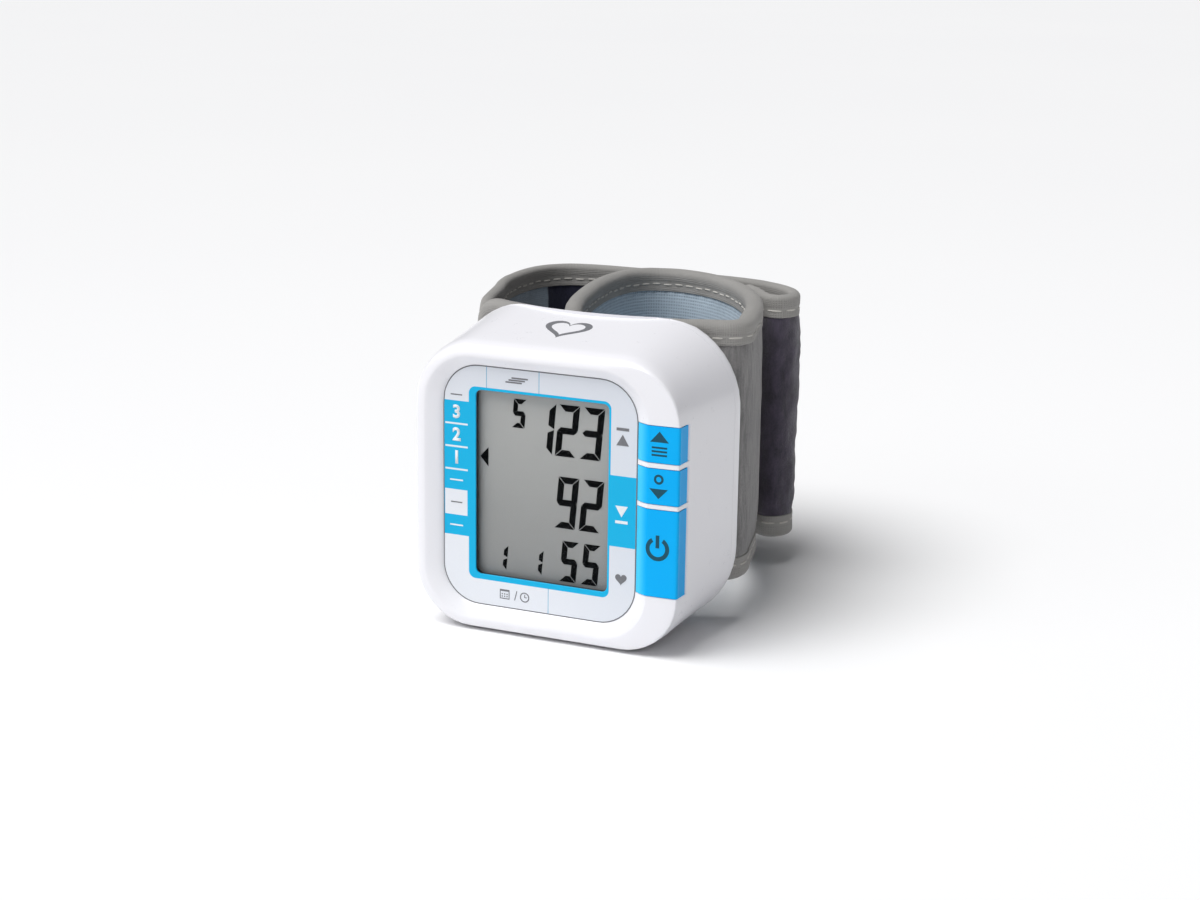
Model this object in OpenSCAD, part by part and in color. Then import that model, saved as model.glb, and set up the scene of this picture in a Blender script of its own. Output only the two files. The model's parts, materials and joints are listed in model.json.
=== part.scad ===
// Wrist blood pressure monitor: white case with display and three keys, and a
// preformed cloth cuff whose long strap wraps round the outside.
// Millimetres. Z = 0 is the flat base of the case, -Y is the display side,
// X = 0 is the middle of the case, and the origin is the middle of the base.

/* [Case] */
// Width of the case at its front edge
front_w = 70.2; // [69:0.1:73]
// Width of the case at its back edge
back_w = 77.6; // [76:0.1:80]
// Depth of the case, from the front ridge to the back face
case_d = 32; // [32:0.5:34]
// Height of the top of the case at its front edge
front_h = 71.6; // [71:0.1:74]
// Height of the top of the case at its back edge
back_h = 77.2; // [77:0.1:80]
// Thickness of the case walls
wall = 1.8; // [1.6:0.1:1.8]
// Corner radius of the case outline at the front edge
front_r = 15; // [14:0.5:16]
// Corner radius of the case outline at the back edge
back_r = 21.5; // [20:0.5:22]
// Radius of the hollow in the back that sits on the wrist
saddle_r = 70; // [70:1:80]

/* [Panel and display] */
// Width of the printed panel
panel_w = 51.4; // [51:0.1:52]
// Height of the printed panel
panel_h = 60; // [59:0.1:61]
// Corner radius of the printed panel
panel_r = 9.7; // [8:0.1:11]
// Width of the display window
window_w = 35.1; // [34:0.1:36]
// Height of the display window
window_h = 46.1; // [44:0.1:47]

/* [Keys] */
// How far a key travels when pressed
key_travel = 0.4; // [0.2:0.05:0.5]
// Gap round each key
key_gap = 0.15; // [0.1:0.05:0.2]

/* [Cuff] */
// Height of the preformed cuff
cuff_h = 66; // [60:1:66]
// Height of the lower edge of the preformed cuff above the base
cuff_z = 10; // [9:0.5:11]
// Height of the lower edge of the wrap-round strap above the base
strap_z = 8; // [7:0.5:9]
// Thickness of the preformed cuff
cuff_t = 4.8; // [4.4:0.1:5]
// Thickness of the wrap-round strap
strap_t = 2.6; // [2.2:0.1:2.8]
// Height of the sewn edge binding
binding_h = 6; // [5:0.5:8]

/* [Hidden] */
$fn = 48;
tiny = 0.01;

// Planes across the depth of the case
ridge_y = -case_d / 2;
back_y = case_d / 2;
panel_y = ridge_y + 1.85;
bed_y = panel_y + 0.5;
cavity_y = bed_y + 1.5;
parting_y = back_y - 4;

// Panel and window places; the right rim is wide because it carries the keys
panel_x = -1.65;
panel_z = 36.5;
window_x = -1.0;
window_z = 37.35;
land_x = panel_x + panel_w / 2;

// Case outline at depth y: half width, top height and corner radius
function along(y) = (y - ridge_y) / case_d;
function half_at(y) = front_w / 2 + (back_w - front_w) / 2 * pow(max(along(y), 0), 1.5);
function top_at(y) = front_h + (back_h - front_h) * along(y);
function corner_at(y) = front_r + (back_r - front_r) * along(y);

// A section is [y, left, right, bottom, top, corner radius]
function section(y, l, r, b, t, c) =
    [y, -half_at(y) + l, half_at(y) - r, b, top_at(y) - t, corner_at(y) - c];
function inset(y, d) = section(y, d, d, d, d, d);
arc_steps = 8;
function corner(s, cx, cz, a0) =
    [for (i = [0:arc_steps]) let (a = a0 + 90 * i / arc_steps)
        [cx + s[5] * cos(a), s[0], cz + s[5] * sin(a)]];
function ring(s) = concat(
    corner(s, s[2] - s[5], s[4] - s[5], 0), corner(s, s[1] + s[5], s[4] - s[5], 90),
    corner(s, s[1] + s[5], s[3] + s[5], 180), corner(s, s[2] - s[5], s[3] + s[5], 270));

// Closed solid through a list of sections, first to last along +Y
module loft(sections) {
    n = 4 * (arc_steps + 1);
    last = len(sections) - 1;
    polyhedron(
        points = [for (s = sections) each ring(s)],
        faces = concat(
            [[for (i = [n - 1:-1:0]) i]],
            [for (k = [0:last - 1]) for (i = [0:n - 1])
                let (a = k * n + i, b = k * n + (i + 1) % n) each
                [[a, b, a + n], [b, b + n, a + n]]],
            [[for (i = [0:n - 1]) last * n + i]]));
}

panel_rect = [panel_x - panel_w / 2, panel_x + panel_w / 2,
              panel_z - panel_h / 2, panel_z + panel_h / 2];
function panel_section(y, grow) = [y, panel_rect[0] - grow, panel_rect[1] + grow,
                                   panel_rect[2] - grow, panel_rect[3] + grow,
                                   panel_r + grow * 0.8];
// Front skin: bed, recess slope, rounded ridge, then the side walls
front_sections = [
    panel_section(bed_y, 0), panel_section(panel_y, 0), panel_section(panel_y - 0.7, 0.9),
    section(ridge_y + 0.15, 4.2, 8.1, 3.6, 2.0, 2.9),
    section(ridge_y, 3.2, 6.9, 2.7, 1.3, 2.0),
    section(ridge_y + 0.3, 1.8, 1.0, 1.6, 0.5, 0.8),
    section(ridge_y + 0.6, 1.3, 0.05, 1.2, 0.3, 0.5),
    section(ridge_y + 1.4, 0.7, 0, 0.8, 0.1, 0.2),
    section(ridge_y + 3.5, 0.15, 0, 0.3, 0, 0),
    section(ridge_y + 6.5, 0, 0, 0, 0, 0)];
side_steps = 5;
side_sections = [for (i = [1:side_steps])
    let (y = ridge_y + 6.5 + (parting_y - ridge_y - 6.5) * i / side_steps)
    section(y, 0, 0, 0, 0, 0)];
back_sections = [section(parting_y, 0, 0, 0, 0, 0), section(parting_y + 1.8, 0, 0, 0, 0, 0),
                 section(parting_y + 3.2, 0.4, 0.4, 0, 0.4, 0.3),
                 section(back_y, 1.4, 1.4, 0, 1.4, 1.1)];
module case_skin() loft(concat(front_sections, side_sections));
module cavity(d, y0, y1) loft([for (i = [0:6]) inset(y0 + (y1 - y0) * i / 6, d)]);

// Rounded plate standing in the XZ plane
module plate(x, z, w, h, r, y, t)
    translate([x, y + t, z]) rotate([90, 0, 0]) linear_extrude(t)
        union() {
            square([w - 2 * r, h], center = true);
            square([w, h - 2 * r], center = true);
            for (i = [-1, 1], k = [-1, 1])
                translate([i * (w / 2 - r), k * (h / 2 - r)]) circle(r);
        }
module block(x0, x1, y0, y1, z0, z1)
    translate([x0, y0, z0]) cube([x1 - x0, y1 - y0, z1 - z0]);
module post(x, z, r, y0, y1)
    translate([x, y1, z]) rotate([90, 0, 0]) cylinder(r = r, h = y1 - y0);
module upright(x, y, r, z0, z1) translate([x, y, z0]) cylinder(r = r, h = z1 - z0);
module saddle(r) translate([0, back_y - 6.5 + saddle_r, -5]) cylinder(r = r, h = 100, $fn = 160);

// Keys: name order is memory, set, power; each is [lower z, upper z]
memory_key = [48.2, 57.2];
set_key = [38.2, 47.0];
power_key = [15.6, 37.1];
key_x = 28.5;
wrap_y = ridge_y + 5.8;
function middle(k) = (k[0] + k[1]) / 2;

// Battery door opening in the left side wall
door_y = [-8, 10];
door_z = [14, 60.5];
door_hinge = [-38.5, 14];

// Screw places: x, z; the head of each sits just under the hollow of the back
case_screw_at = [[-15, 8], [15, 8], [-12, 68.5], [21.5, 67]];
boss_r = 2.4;
head_r = 2.1;
function hollow_at(x) = back_y - 6.5 + saddle_r - sqrt(saddle_r * saddle_r - x * x);
function seat_at(p) = hollow_at(p[0]) - 1.5;

module front_case() color("ghostwhite") difference() {
    case_skin();
    difference() {
        cavity(wall, cavity_y, parting_y + 0.5);
        for (p = case_screw_at) post(p[0], p[1], boss_r, cavity_y - 1, 1);
    }
    plate(window_x, window_z, window_w + 0.6, window_h + 0.6, 1.5, panel_y - 1, 4);
    for (k = [memory_key, set_key, power_key])
        block(land_x, 45, ridge_y - 1, wrap_y + 0.2, k[0], k[1]);
    block(-45, -33.4, door_y[0], door_y[1], door_z[0], door_z[1]);
    for (p = case_screw_at) post(p[0], p[1], 0.95, -8, 1 + tiny);
    saddle(saddle_r);
}

module back_case() color("whitesmoke") difference() {
    union() {
        loft(back_sections);
        cavity(wall + 0.1, 6.4, parting_y + tiny);
        for (p = case_screw_at) post(p[0], p[1], boss_r, 1.2, 7);
    }
    saddle(saddle_r);
    difference() {
        cavity(wall + 1.7, 6, parting_y + 2.2);
        saddle(saddle_r + wall);
        for (p = case_screw_at) post(p[0], p[1], head_r + 1.2, 5, 20);
    }
    block(-37, -22, 0, parting_y + 0.5, 10, 62);
    for (p = case_screw_at) {
        post(p[0], p[1], 1.25, 0, 20);
        post(p[0], p[1], head_r + 0.2, seat_at(p), 20);
    }
    post(0, nozzle_z, 2.1, 0, 20);
    for (x = plate_screw_x) post(x, plate_screw_z, 1.05, 0, 20);
}

module case_screws() color("silver") for (p = case_screw_at) difference() {
    union() {
        post(p[0], p[1], 1.2, 1.2, seat_at(p) + tiny);
        post(p[0], p[1], 0.9, -6, 1.21);
        post(p[0], p[1], head_r, seat_at(p), seat_at(p) + 1.2);
    }
    translate([p[0], seat_at(p) + 1, p[1]]) for (a = [0, 90]) rotate([0, a, 0])
        cube([2.4, 1, 0.5], center = true);
}

module battery_door() color("ghostwhite") {
    intersection() {
        difference() {
            loft(concat([section(ridge_y + 6.5, 0, 0, 0, 0, 0)], side_sections));
            cavity(wall - 0.3, ridge_y + 6, parting_y + 1);
        }
        block(-45, -33.6, door_y[0] + 0.2, door_y[1] - 0.2, door_z[0] + 0.25, door_z[1] - 0.25);
    }
    for (i = [0:3]) let (y = -2 + 2 * i)
        block(-half_at(y) - 0.35, -half_at(y) + 0.8, y, y + 0.7, 46, 54);
}

module panel_overlay() color("gainsboro") difference() {
    plate(panel_x, panel_z, panel_w - 0.1, panel_h - 0.1, panel_r, panel_y, 0.48);
    plate(window_x, window_z, window_w, window_h, 1.5, panel_y - 1, 3);
}
module display_window() color("lightblue")
    plate(window_x, window_z, window_w - 0.1, window_h - 0.1, 1.4, panel_y + 0.1, 0.8);
module lcd_panel() color("gray") block(-20.2, 18.2, cavity_y + 0.05, cavity_y + 2.75, 12.2, 62.6);
module lcd_frame() color("white") difference() {
    block(-21.5, 19.5, cavity_y + 0.05, board_y - 0.05, 10.9, 63.9);
    block(-20.25, 18.25, cavity_y - 1, board_y - 1.4, 12.15, 62.65);
    block(-17.2, 15.2, cavity_y, board_y + 1, 12.3, 14.9);
    block(-15, 13, cavity_y, board_y + 1, 18, 60);
    for (p = board_holes) post(p[0], p[1], 1.05, board_y - 1.5, board_y);
}
module zebra_connector() color("dimgray")
    block(-17, 15, cavity_y + 2.75, board_y, 12.4, 14.8);

board_y = cavity_y + 5.55;
board_t = 1.6;
board_back = board_y + board_t;
board_holes = [[-16.5, 61.4], [17, 16.2]];

module key(k) color("deepskyblue") {
    intersection() {
        case_skin();
        union() {
            block(land_x + key_gap, 45, ridge_y - 1, ridge_y + 2.3,
                  k[0] + key_gap, k[1] - key_gap);
            block(33.2, 45, ridge_y - 1, wrap_y - key_travel, k[0] + key_gap, k[1] - key_gap);
        }
    }
    post(key_x, middle(k), 2, ridge_y + 2, board_y - 4.3);
}
module switch_base(k) color("black") difference() {
    block(key_x - 3, key_x + 3, board_y - 3.3, board_y, middle(k) - 3, middle(k) + 3);
    post(key_x, middle(k), 1.75, board_y - 4, board_y - 1);
}
module switch_plunger(k) color("peru") post(key_x, middle(k), 1.7, board_y - 4.3, board_y - 1.6);

module memory_button() key(memory_key);
module set_button() key(set_key);
module power_button() key(power_key);
module memory_switch() switch_base(memory_key);
module set_switch() switch_base(set_key);
module power_switch() switch_base(power_key);
module memory_plunger() switch_plunger(memory_key);
module set_plunger() switch_plunger(set_key);
module power_plunger() switch_plunger(power_key);

module main_board() color("darkgreen") difference() {
    plate(5.4, 36.8, 53, 55.6, 10, board_y, board_t);
    for (p = board_holes) post(p[0], p[1], 1.05, board_y - 1, board_back + 1);
    for (p = case_screw_at) post(p[0], p[1], 2.9, board_y - 1, board_back + 1);
}
module board_screws() color("silver") for (p = board_holes) {
    post(p[0], p[1], 1, board_y - 1.3, board_back + tiny);
    post(p[0], p[1], 1.8, board_back, board_back + 1.1);
}
module controller_chip() color("black") {
    block(-3, 7, board_back, board_back + 1.4, 42, 52);
    for (i = [0:7], s = [-1, 1])
        block(2 + s * 5.4 - 0.5, 2 + s * 5.4 + 0.5, board_back, board_back + 0.5,
              42.8 + i * 1.15, 43.3 + i * 1.15);
}
module pressure_sensor() color("white") {
    block(-15, -7, board_back, board_back + 3, 46, 54);
    post(-11, 50, 1.2, board_back + 2.9, board_back + 5.5);
}
module buzzer() color("black") difference() {
    post(-12, 22, 4.5, board_back, board_back + 3.2);
    post(-12, 22, 0.8, board_back + 2.5, board_back + 4);
}
module capacitors() color("darkslateblue") for (i = [0:2])
    upright(-14 + 6 * i, board_back + 2.6, 2.5, 31, 38);

// Pump: motor, shaft, housing and valve cap stacked along Z
pump_at = [24.5, 2.2];
module pump_motor() color("silver") difference() {
    upright(pump_at[0], pump_at[1], 6, 9, 27);
    upright(pump_at[0], pump_at[1], 0.8, 19, 28);
}
module motor_shaft() color("lightgray") {
    upright(pump_at[0], pump_at[1], 0.75, 19.5, 29.6);
    upright(pump_at[0], pump_at[1], 2.6, 29.5, 31);
    upright(pump_at[0] + 1.2, pump_at[1], 0.5, 30.9, 31.6);
}
module pump_housing() color("ivory") difference() {
    upright(pump_at[0], pump_at[1], 6.5, 27, 36);
    upright(pump_at[0], pump_at[1], 5.3, 26, 34.6);
}
module rocker_plate() color("white") upright(pump_at[0], pump_at[1], 4.4, 31.9, 32.9);
module diaphragm_cups() color("dimgray") for (a = [90, 210, 330])
    translate([2.6 * cos(a), 2.6 * sin(a), 0])
        upright(pump_at[0], pump_at[1], 1.6, 32.9, 34.6);
module pump_valve_cap() color("ivory") {
    upright(pump_at[0], pump_at[1], 6.5, 36, 40);
    upright(pump_at[0], pump_at[1], 1.2, 39.9, 43.5);
}

// Release valve: coil body, plunger with its spring, and the seat it closes
valve_at = [8, 1.5];
module valve_body() color("silver") difference() {
    upright(valve_at[0], valve_at[1], 4, 10, 24);
    upright(valve_at[0], valve_at[1], 1.05, 16, 25);
}
module valve_plunger() color("gray") {
    upright(valve_at[0], valve_at[1], 1, 17, 26.6);
    upright(valve_at[0], valve_at[1], 2.2, 26.5, 27.4);
}
module valve_seat() color("white") {
    difference() {
        upright(valve_at[0], valve_at[1], 3.2, 24, 30);
        upright(valve_at[0], valve_at[1], 2.5, 23, 28.2);
    }
    upright(valve_at[0], valve_at[1], 1.2, 29.9, 32.5);
}

// Round rod swept through points; used for the spring and the air tubes
function unit(v) = v / norm(v);
function tangent(p, i) = unit(p[min(i + 1, len(p) - 1)] - p[max(i - 1, 0)]);
module rod(p, r, sides, side) {
    n = len(p);
    polyhedron(
        points = [for (i = [0:n - 1])
            let (t = tangent(p, i), u = unit(cross(t, side)), v = cross(t, u))
            for (k = [0:sides - 1]) let (a = 360 * k / sides)
                p[i] + r * cos(a) * u + r * sin(a) * v],
        faces = concat([[for (k = [0:sides - 1]) k]],
            [for (i = [0:n - 2]) for (k = [0:sides - 1])
                let (a = i * sides + k, b = i * sides + (k + 1) % sides) each
                [[a, a + sides, b], [b, a + sides, b + sides]]],
            [[for (k = [sides - 1:-1:0]) (n - 1) * sides + k]]));
}
spring_turns = 3;
module valve_spring() color("silver")
    rod([for (i = [0:14 * spring_turns]) let (a = 360 * i / 14)
        [valve_at[0] + 1.7 * cos(a), valve_at[1] + 1.7 * sin(a),
         24.25 + 2.0 * i / (14 * spring_turns)]], 0.2, 6, [0, 0, 1]);

// Smooth curve through hand-set points
function blend_at(a, b, c, d, t) = 0.5 * (2 * b + (c - a) * t
    + (2 * a - 5 * b + 4 * c - d) * t * t + (3 * b - a - 3 * c + d) * t * t * t);
function curve(p, steps) = let (q = concat([2 * p[0] - p[1]], p,
                                           [2 * p[len(p) - 1] - p[len(p) - 2]]))
    concat([for (i = [1:len(q) - 3]) for (j = [0:steps - 1])
        blend_at(q[i - 1], q[i], q[i + 1], q[i + 2], j / steps)], [p[len(p) - 1]]);

manifold_z = 56;
nozzle_z = 58;
module air_manifold() color("white") {
    block(-4, 22, 0.5, 4.5, manifold_z, manifold_z + 4);
    for (x = [18, 8]) upright(x, 2.5, 1.2, manifold_z - 3, manifold_z + tiny);
    upright(-1, 2.5, 1.2, manifold_z - 3, manifold_z + tiny);
}
module air_tube(p) color("lightgray") difference() {
    rod(curve(p, 4), 2, 8, [0.02, 0.6, 1]);
    rod(curve(p, 4), 1.35, 8, [0.02, 0.6, 1]);
}
module pump_tube() air_tube([[24.5, 2.2, 40.4], [24.5, 2.2, 43.5], [21.5, 2.4, 48],
                             [18, 2.5, 51.5], [18, 2.5, 55.6]]);
module valve_tube() air_tube([[8, 1.5, 30.4], [8, 1.5, 33], [9.6, 1.9, 40], [8, 2.5, 49],
                              [8, 2.5, 55.6]]);
module sensor_tube() air_tube([[-1, 2.5, 55.6], [-1, 2.6, 52], [-4.5, 3.6, 48.6],
                               [-9, 4, 49], [-11, 2, 50], [-11, -1.2, 50]]);
module cuff_nozzle() color("white") difference() {
    union() {
        post(0, nozzle_z, 2, 4.5, 12.3);
        post(0, nozzle_z, 3.2, 4.5, 6.4);
    }
    post(0, nozzle_z, 1, 4, 13);
}

// Two AAA cells stand one behind the other in the left of the case
cell_x = -28.4;
cell_y = [-4, 6.9];
cell_z = [15, 59.5];
module cell(y, up) color("goldenrod") {
    foot = up ? cell_z[0] : cell_z[0] + 0.9;
    upright(cell_x, y, 5.2, foot, foot + 43.6);
    upright(cell_x, y, 1.9, up ? foot + 43.5 : cell_z[0], up ? cell_z[1] : foot + 0.1);
}
module front_cell() cell(cell_y[0], true);
module back_cell() cell(cell_y[1], false);
module battery_tray() color("whitesmoke") {
    block(-22.9, -21.9, -11, 10, 11.2, 60.9);
    block(-32.4, -22.8, -9.4, 10, 11.2, 12.2);
    block(-32.4, -22.8, -9.4, 10, 59.9, 60.9);
}
module contact_springs() color("silver") for (y = cell_y)
    rod([for (k = [0:36]) let (r = 3.6 - 1.6 * k / 36)
        [cell_x + r * cos(30 * k), y + r * sin(30 * k), 12.6 + 2.05 * k / 36]],
        0.3, 6, [0, 0, 1]);
module contact_plates() color("silver") {
    for (y = cell_y) block(cell_x - 3, cell_x + 3, y - 4, y + 4, 59.55, 59.85);
    block(cell_x - 3, cell_x + 3, cell_y[0] - 4, cell_y[1] + 4, 12.22, 12.28);
}

// Cuff centre line, seen from above, clockwise: from the tucked-in end, round
// the wrist, across the hollow of the case, to the strap hinge line
cuff_path = [[-9.4, 20.5], [-13.8, 34], [-17.1, 48.5], [-18.8, 63], [-17.4, 74],
             [-12.2, 80], [-3.6, 81.4], [7, 77.6], [16.6, 69.4], [24.3, 58.5],
             [29.8, 46], [33.2, 33], [35, 25.2], [33.2, 20.8], [28, 18.9],
             [15, 14.4], [0, 12.7], [-15, 14.4], [-28, 18.9], [-32.9, 21.1], [-35.2, 23.4]];
// Strap centre line: from the hinge line round the outside and back on itself
strap_path = [[-36.6, 25.5], [-39.3, 34], [-42.8, 46], [-46, 56], [-47.4, 66],
              [-46.6, 77], [-42, 84.6], [-33, 87.8], [-16, 88.6], [0, 88.6],
              [12, 87.6], [21, 84.8], [28, 79.2], [30.8, 72.6], [28.4, 68.2],
              [24.3, 69.4], [18.6, 76.6], [10.5, 83]];
steps = 5;
function normal(p, i) = let (t = tangent(p, i)) [-t[1], t[0]];
// Closed outline of a band that lies from a to b left of the line
function band(p, a, b) = concat([for (i = [0:len(p) - 1]) p[i] + b * normal(p, i)],
                                [for (i = [len(p) - 1:-1:0]) p[i] + a * normal(p, i)]);
module strip(p, a, b, z0, z1)
    translate([0, 0, z0]) linear_extrude(z1 - z0) polygon(band(p, a, b));
function part_of(p, a, b) = [for (i = [a:b]) p[i]];
cuff_line = curve(cuff_path, steps);
strap_line = curve(strap_path, steps);
cuff_top = cuff_z + cuff_h;
strap_top = strap_z + cuff_h;
cloth = 1.2;
edge = 0.8;
half = cuff_t / 2;

module cuff_outer_cloth() color("darkgray") difference() {
    strip(cuff_line, half - cloth, half, cuff_z + edge, cuff_top - edge);
    post(0, nozzle_z, 2.2, 0, 20);
    for (x = plate_screw_x) post(x, plate_screw_z, 1.3, 0, 20);
}
module cuff_inner_cloth() color("lightsteelblue")
    strip(cuff_line, -half, -half + cloth, cuff_z + edge, cuff_top - edge);
module binding(p, h, z0, z1, inner0, inner1) color("gray") difference() {
    strip(p, -h - 0.5, h + 0.5, z0, z1);
    strip(p, -h, h, inner0, inner1);
}
module cuff_top_binding() binding(cuff_line, half, cuff_top - binding_h, cuff_top,
                                  cuff_top - binding_h - 1, cuff_top - edge);
module cuff_bottom_binding() binding(cuff_line, half, cuff_z, cuff_z + binding_h,
                                     cuff_z + edge, cuff_z + binding_h + 1);
plate_screw_x = [-14, 14];
plate_screw_z = 43;
module stiffener_shell() color("white")
    strip(part_of(cuff_line, 4 * steps, 14 * steps), 0.4, 1.1, cuff_z + 8, cuff_top - 8);
module air_bladder() color("lightgray")
    strip(part_of(cuff_line, 8 * steps, 18 * steps), -1.1, 0.3, cuff_z + 9, cuff_top - 9);
module retaining_plate() color("white") difference() {
    strip(part_of(cuff_line, 14 * steps + 2, 18 * steps - 2), 0.4, 1.1,
          plate_screw_z - 9, plate_screw_z + 9);
    for (x = plate_screw_x) post(x, plate_screw_z, 0.8, 0, 20);
}
module retaining_screws() color("silver") for (x = plate_screw_x) {
    post(x, plate_screw_z, 0.75, 8.6, 13.3);
    post(x, plate_screw_z, 1.9, 7.3, 8.7);
}

strap_half = strap_t / 2;
module strap_cloth() color("darkslategray")
    strip(strap_line, 0, strap_half, strap_z + edge, strap_top - edge);
module strap_lining() color("lightsteelblue")
    strip(strap_line, -strap_half, 0, strap_z + edge, strap_top - edge);
module strap_top_binding() binding(strap_line, strap_half, strap_top - binding_h, strap_top,
                                   strap_top - binding_h - 1, strap_top - edge);
module strap_bottom_binding() binding(strap_line, strap_half, strap_z, strap_z + binding_h,
                                      strap_z + edge, strap_z + binding_h + 1);
module hook_patch() color("gray")
    strip(part_of(strap_line, 15 * steps, 17 * steps), -strap_half - 0.7, -strap_half,
          strap_z + 10, strap_top - 10);

front_case();
back_case();
case_screws();
battery_door();
panel_overlay();
display_window();
lcd_panel();
lcd_frame();
zebra_connector();
memory_button();
set_button();
power_button();
memory_switch();
set_switch();
power_switch();
memory_plunger();
set_plunger();
power_plunger();
main_board();
board_screws();
controller_chip();
pressure_sensor();
buzzer();
capacitors();
pump_motor();
motor_shaft();
pump_housing();
rocker_plate();
diaphragm_cups();
pump_valve_cap();
valve_body();
valve_plunger();
valve_spring();
valve_seat();
air_manifold();
pump_tube();
valve_tube();
sensor_tube();
cuff_nozzle();
battery_tray();
front_cell();
back_cell();
contact_springs();
contact_plates();
retaining_plate();
retaining_screws();
stiffener_shell();
air_bladder();
cuff_outer_cloth();
cuff_inner_cloth();
cuff_top_binding();
cuff_bottom_binding();
strap_cloth();
strap_lining();
strap_top_binding();
strap_bottom_binding();
hook_patch();
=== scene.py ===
import json
import math

import bmesh
import bpy
import numpy as np
from mathutils import Matrix, Vector


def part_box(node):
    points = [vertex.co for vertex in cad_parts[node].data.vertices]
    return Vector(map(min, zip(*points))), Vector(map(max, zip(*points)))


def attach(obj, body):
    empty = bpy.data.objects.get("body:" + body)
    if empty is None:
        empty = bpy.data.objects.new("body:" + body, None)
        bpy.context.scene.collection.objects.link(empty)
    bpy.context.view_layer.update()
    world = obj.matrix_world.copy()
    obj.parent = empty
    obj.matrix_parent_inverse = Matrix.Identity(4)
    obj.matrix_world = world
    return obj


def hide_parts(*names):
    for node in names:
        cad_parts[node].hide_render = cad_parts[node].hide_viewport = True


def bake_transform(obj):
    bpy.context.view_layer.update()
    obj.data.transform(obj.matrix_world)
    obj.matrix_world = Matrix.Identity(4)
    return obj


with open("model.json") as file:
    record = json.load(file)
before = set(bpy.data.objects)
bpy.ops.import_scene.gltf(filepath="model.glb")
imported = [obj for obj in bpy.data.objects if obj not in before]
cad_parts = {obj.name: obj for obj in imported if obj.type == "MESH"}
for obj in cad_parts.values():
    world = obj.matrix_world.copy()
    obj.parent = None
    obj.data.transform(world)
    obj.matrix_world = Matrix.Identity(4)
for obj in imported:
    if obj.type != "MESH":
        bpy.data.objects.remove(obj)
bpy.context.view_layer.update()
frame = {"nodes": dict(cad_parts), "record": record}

# Shapes are worked out in millimetres and put into the meshes in metres.
MM = 0.001


def box_mm(node):
    """A CAD node's lowest and highest corners, in millimetres."""
    low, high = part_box(node)
    return np.array(low) / MM, np.array(high) / MM


# ---------------------------------------------------------------------------
# Driving sizes: the case outline grows from its front ridge to its back face
CASE_LOW, CASE_HIGH = box_mm("front_case")
RIDGE_Y, PARTING_Y = CASE_LOW[1], CASE_HIGH[1]
BACK_Y = box_mm("back_case")[1][1]
DEPTH = BACK_Y - RIDGE_Y
FRONT_HALF, BACK_HALF = 35.1, 38.8
FRONT_TOP, BACK_TOP = 71.6, 77.2
FRONT_CORNER, BACK_CORNER = 15.0, 21.5
WALL = 1.8
SADDLE_R, SADDLE_DEEP = 70.0, 6.5

PANEL_LOW, PANEL_HIGH = box_mm("panel_overlay")
PANEL_Y = PANEL_LOW[1]
BED_Y = PANEL_Y + 0.5
CAVITY_Y = BED_Y + 1.5
PANEL_R = 9.7
WINDOW_LOW, WINDOW_HIGH = box_mm("display_window")
GLASS_Y = box_mm("lcd_panel")[0][1]

KEY_GAP = 0.15
KEY_TRAVEL = 0.4
KEY_SPANS = {key: (box_mm(key + "_button")[0][2] - KEY_GAP, box_mm(key + "_button")[1][2] + KEY_GAP)
             for key in ("memory", "set", "power")}
WRAP_Y = RIDGE_Y + 6.0
DOOR_LOW, DOOR_HIGH = box_mm("battery_door")
DOOR_Y = (DOOR_LOW[1] - 0.2, DOOR_HIGH[1] + 0.2)
DOOR_Z = (DOOR_LOW[2] - 0.25, DOOR_HIGH[2] + 0.25)


# ---------------------------------------------------------------------------
# Mesh making
def put(name, points, faces, body="case", sharp=32, uv=None, outward=True):
    """Makes a piece from points in millimetres and a list of face arrays.

    Points that no face uses are dropped. Shading is smooth except across edges
    that turn by more than `sharp` degrees.
    """
    used = np.unique(np.concatenate([f.ravel() for f in faces]))
    place = np.full(len(points), -1)
    place[used] = np.arange(len(used))
    mesh = bpy.data.meshes.new(name)
    mesh.from_pydata((points[used] * MM).tolist(), [], [q for f in faces for q in place[f].tolist()])
    if uv is not None:
        layer = mesh.uv_layers.new(name="cloth")
        corner = np.empty(len(mesh.loops), int)
        mesh.loops.foreach_get("vertex_index", corner)
        layer.data.foreach_set("uv", (uv[used][corner] * MM).ravel())
    if outward:
        work = bmesh.new()
        work.from_mesh(mesh)
        bmesh.ops.recalc_face_normals(work, faces=work.faces)
        work.to_mesh(mesh)
        work.free()
    mesh.polygons.foreach_set("use_smooth", np.ones(len(mesh.polygons), bool))
    mesh.set_sharp_from_angle(angle=math.radians(sharp))
    mesh.update()
    piece = bpy.data.objects.new(name, mesh)
    bpy.context.scene.collection.objects.link(piece)
    if body:
        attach(piece, body)
    return piece


def dress(piece, finish, node=None):
    """Gives a piece its finish and hides the CAD node that it stands in for."""
    if node:
        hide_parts(node)
    finish.on(piece)
    return piece


def grid_quads(rows, columns, closed=False):
    """Quads of a grid of points; a closed grid joins its last column to its first."""
    index = np.arange(rows * columns).reshape(rows, columns)
    right = np.roll(index, -1, axis=1)
    last = columns if closed else columns - 1
    return np.stack([index[:-1, :last], right[:-1, :last], right[1:, :last], index[1:, :last]], -1)


def tube_faces(rings, around, base=0):
    """Faces of a closed tube of rings, with a cap at each end; base is its first point's number."""
    ring = base + np.arange(around)
    sides = grid_quads(rings, around, True).reshape(-1, 4) + base
    return [sides, ring[None, ::-1], ring[None, :] + (rings - 1) * around]


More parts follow.
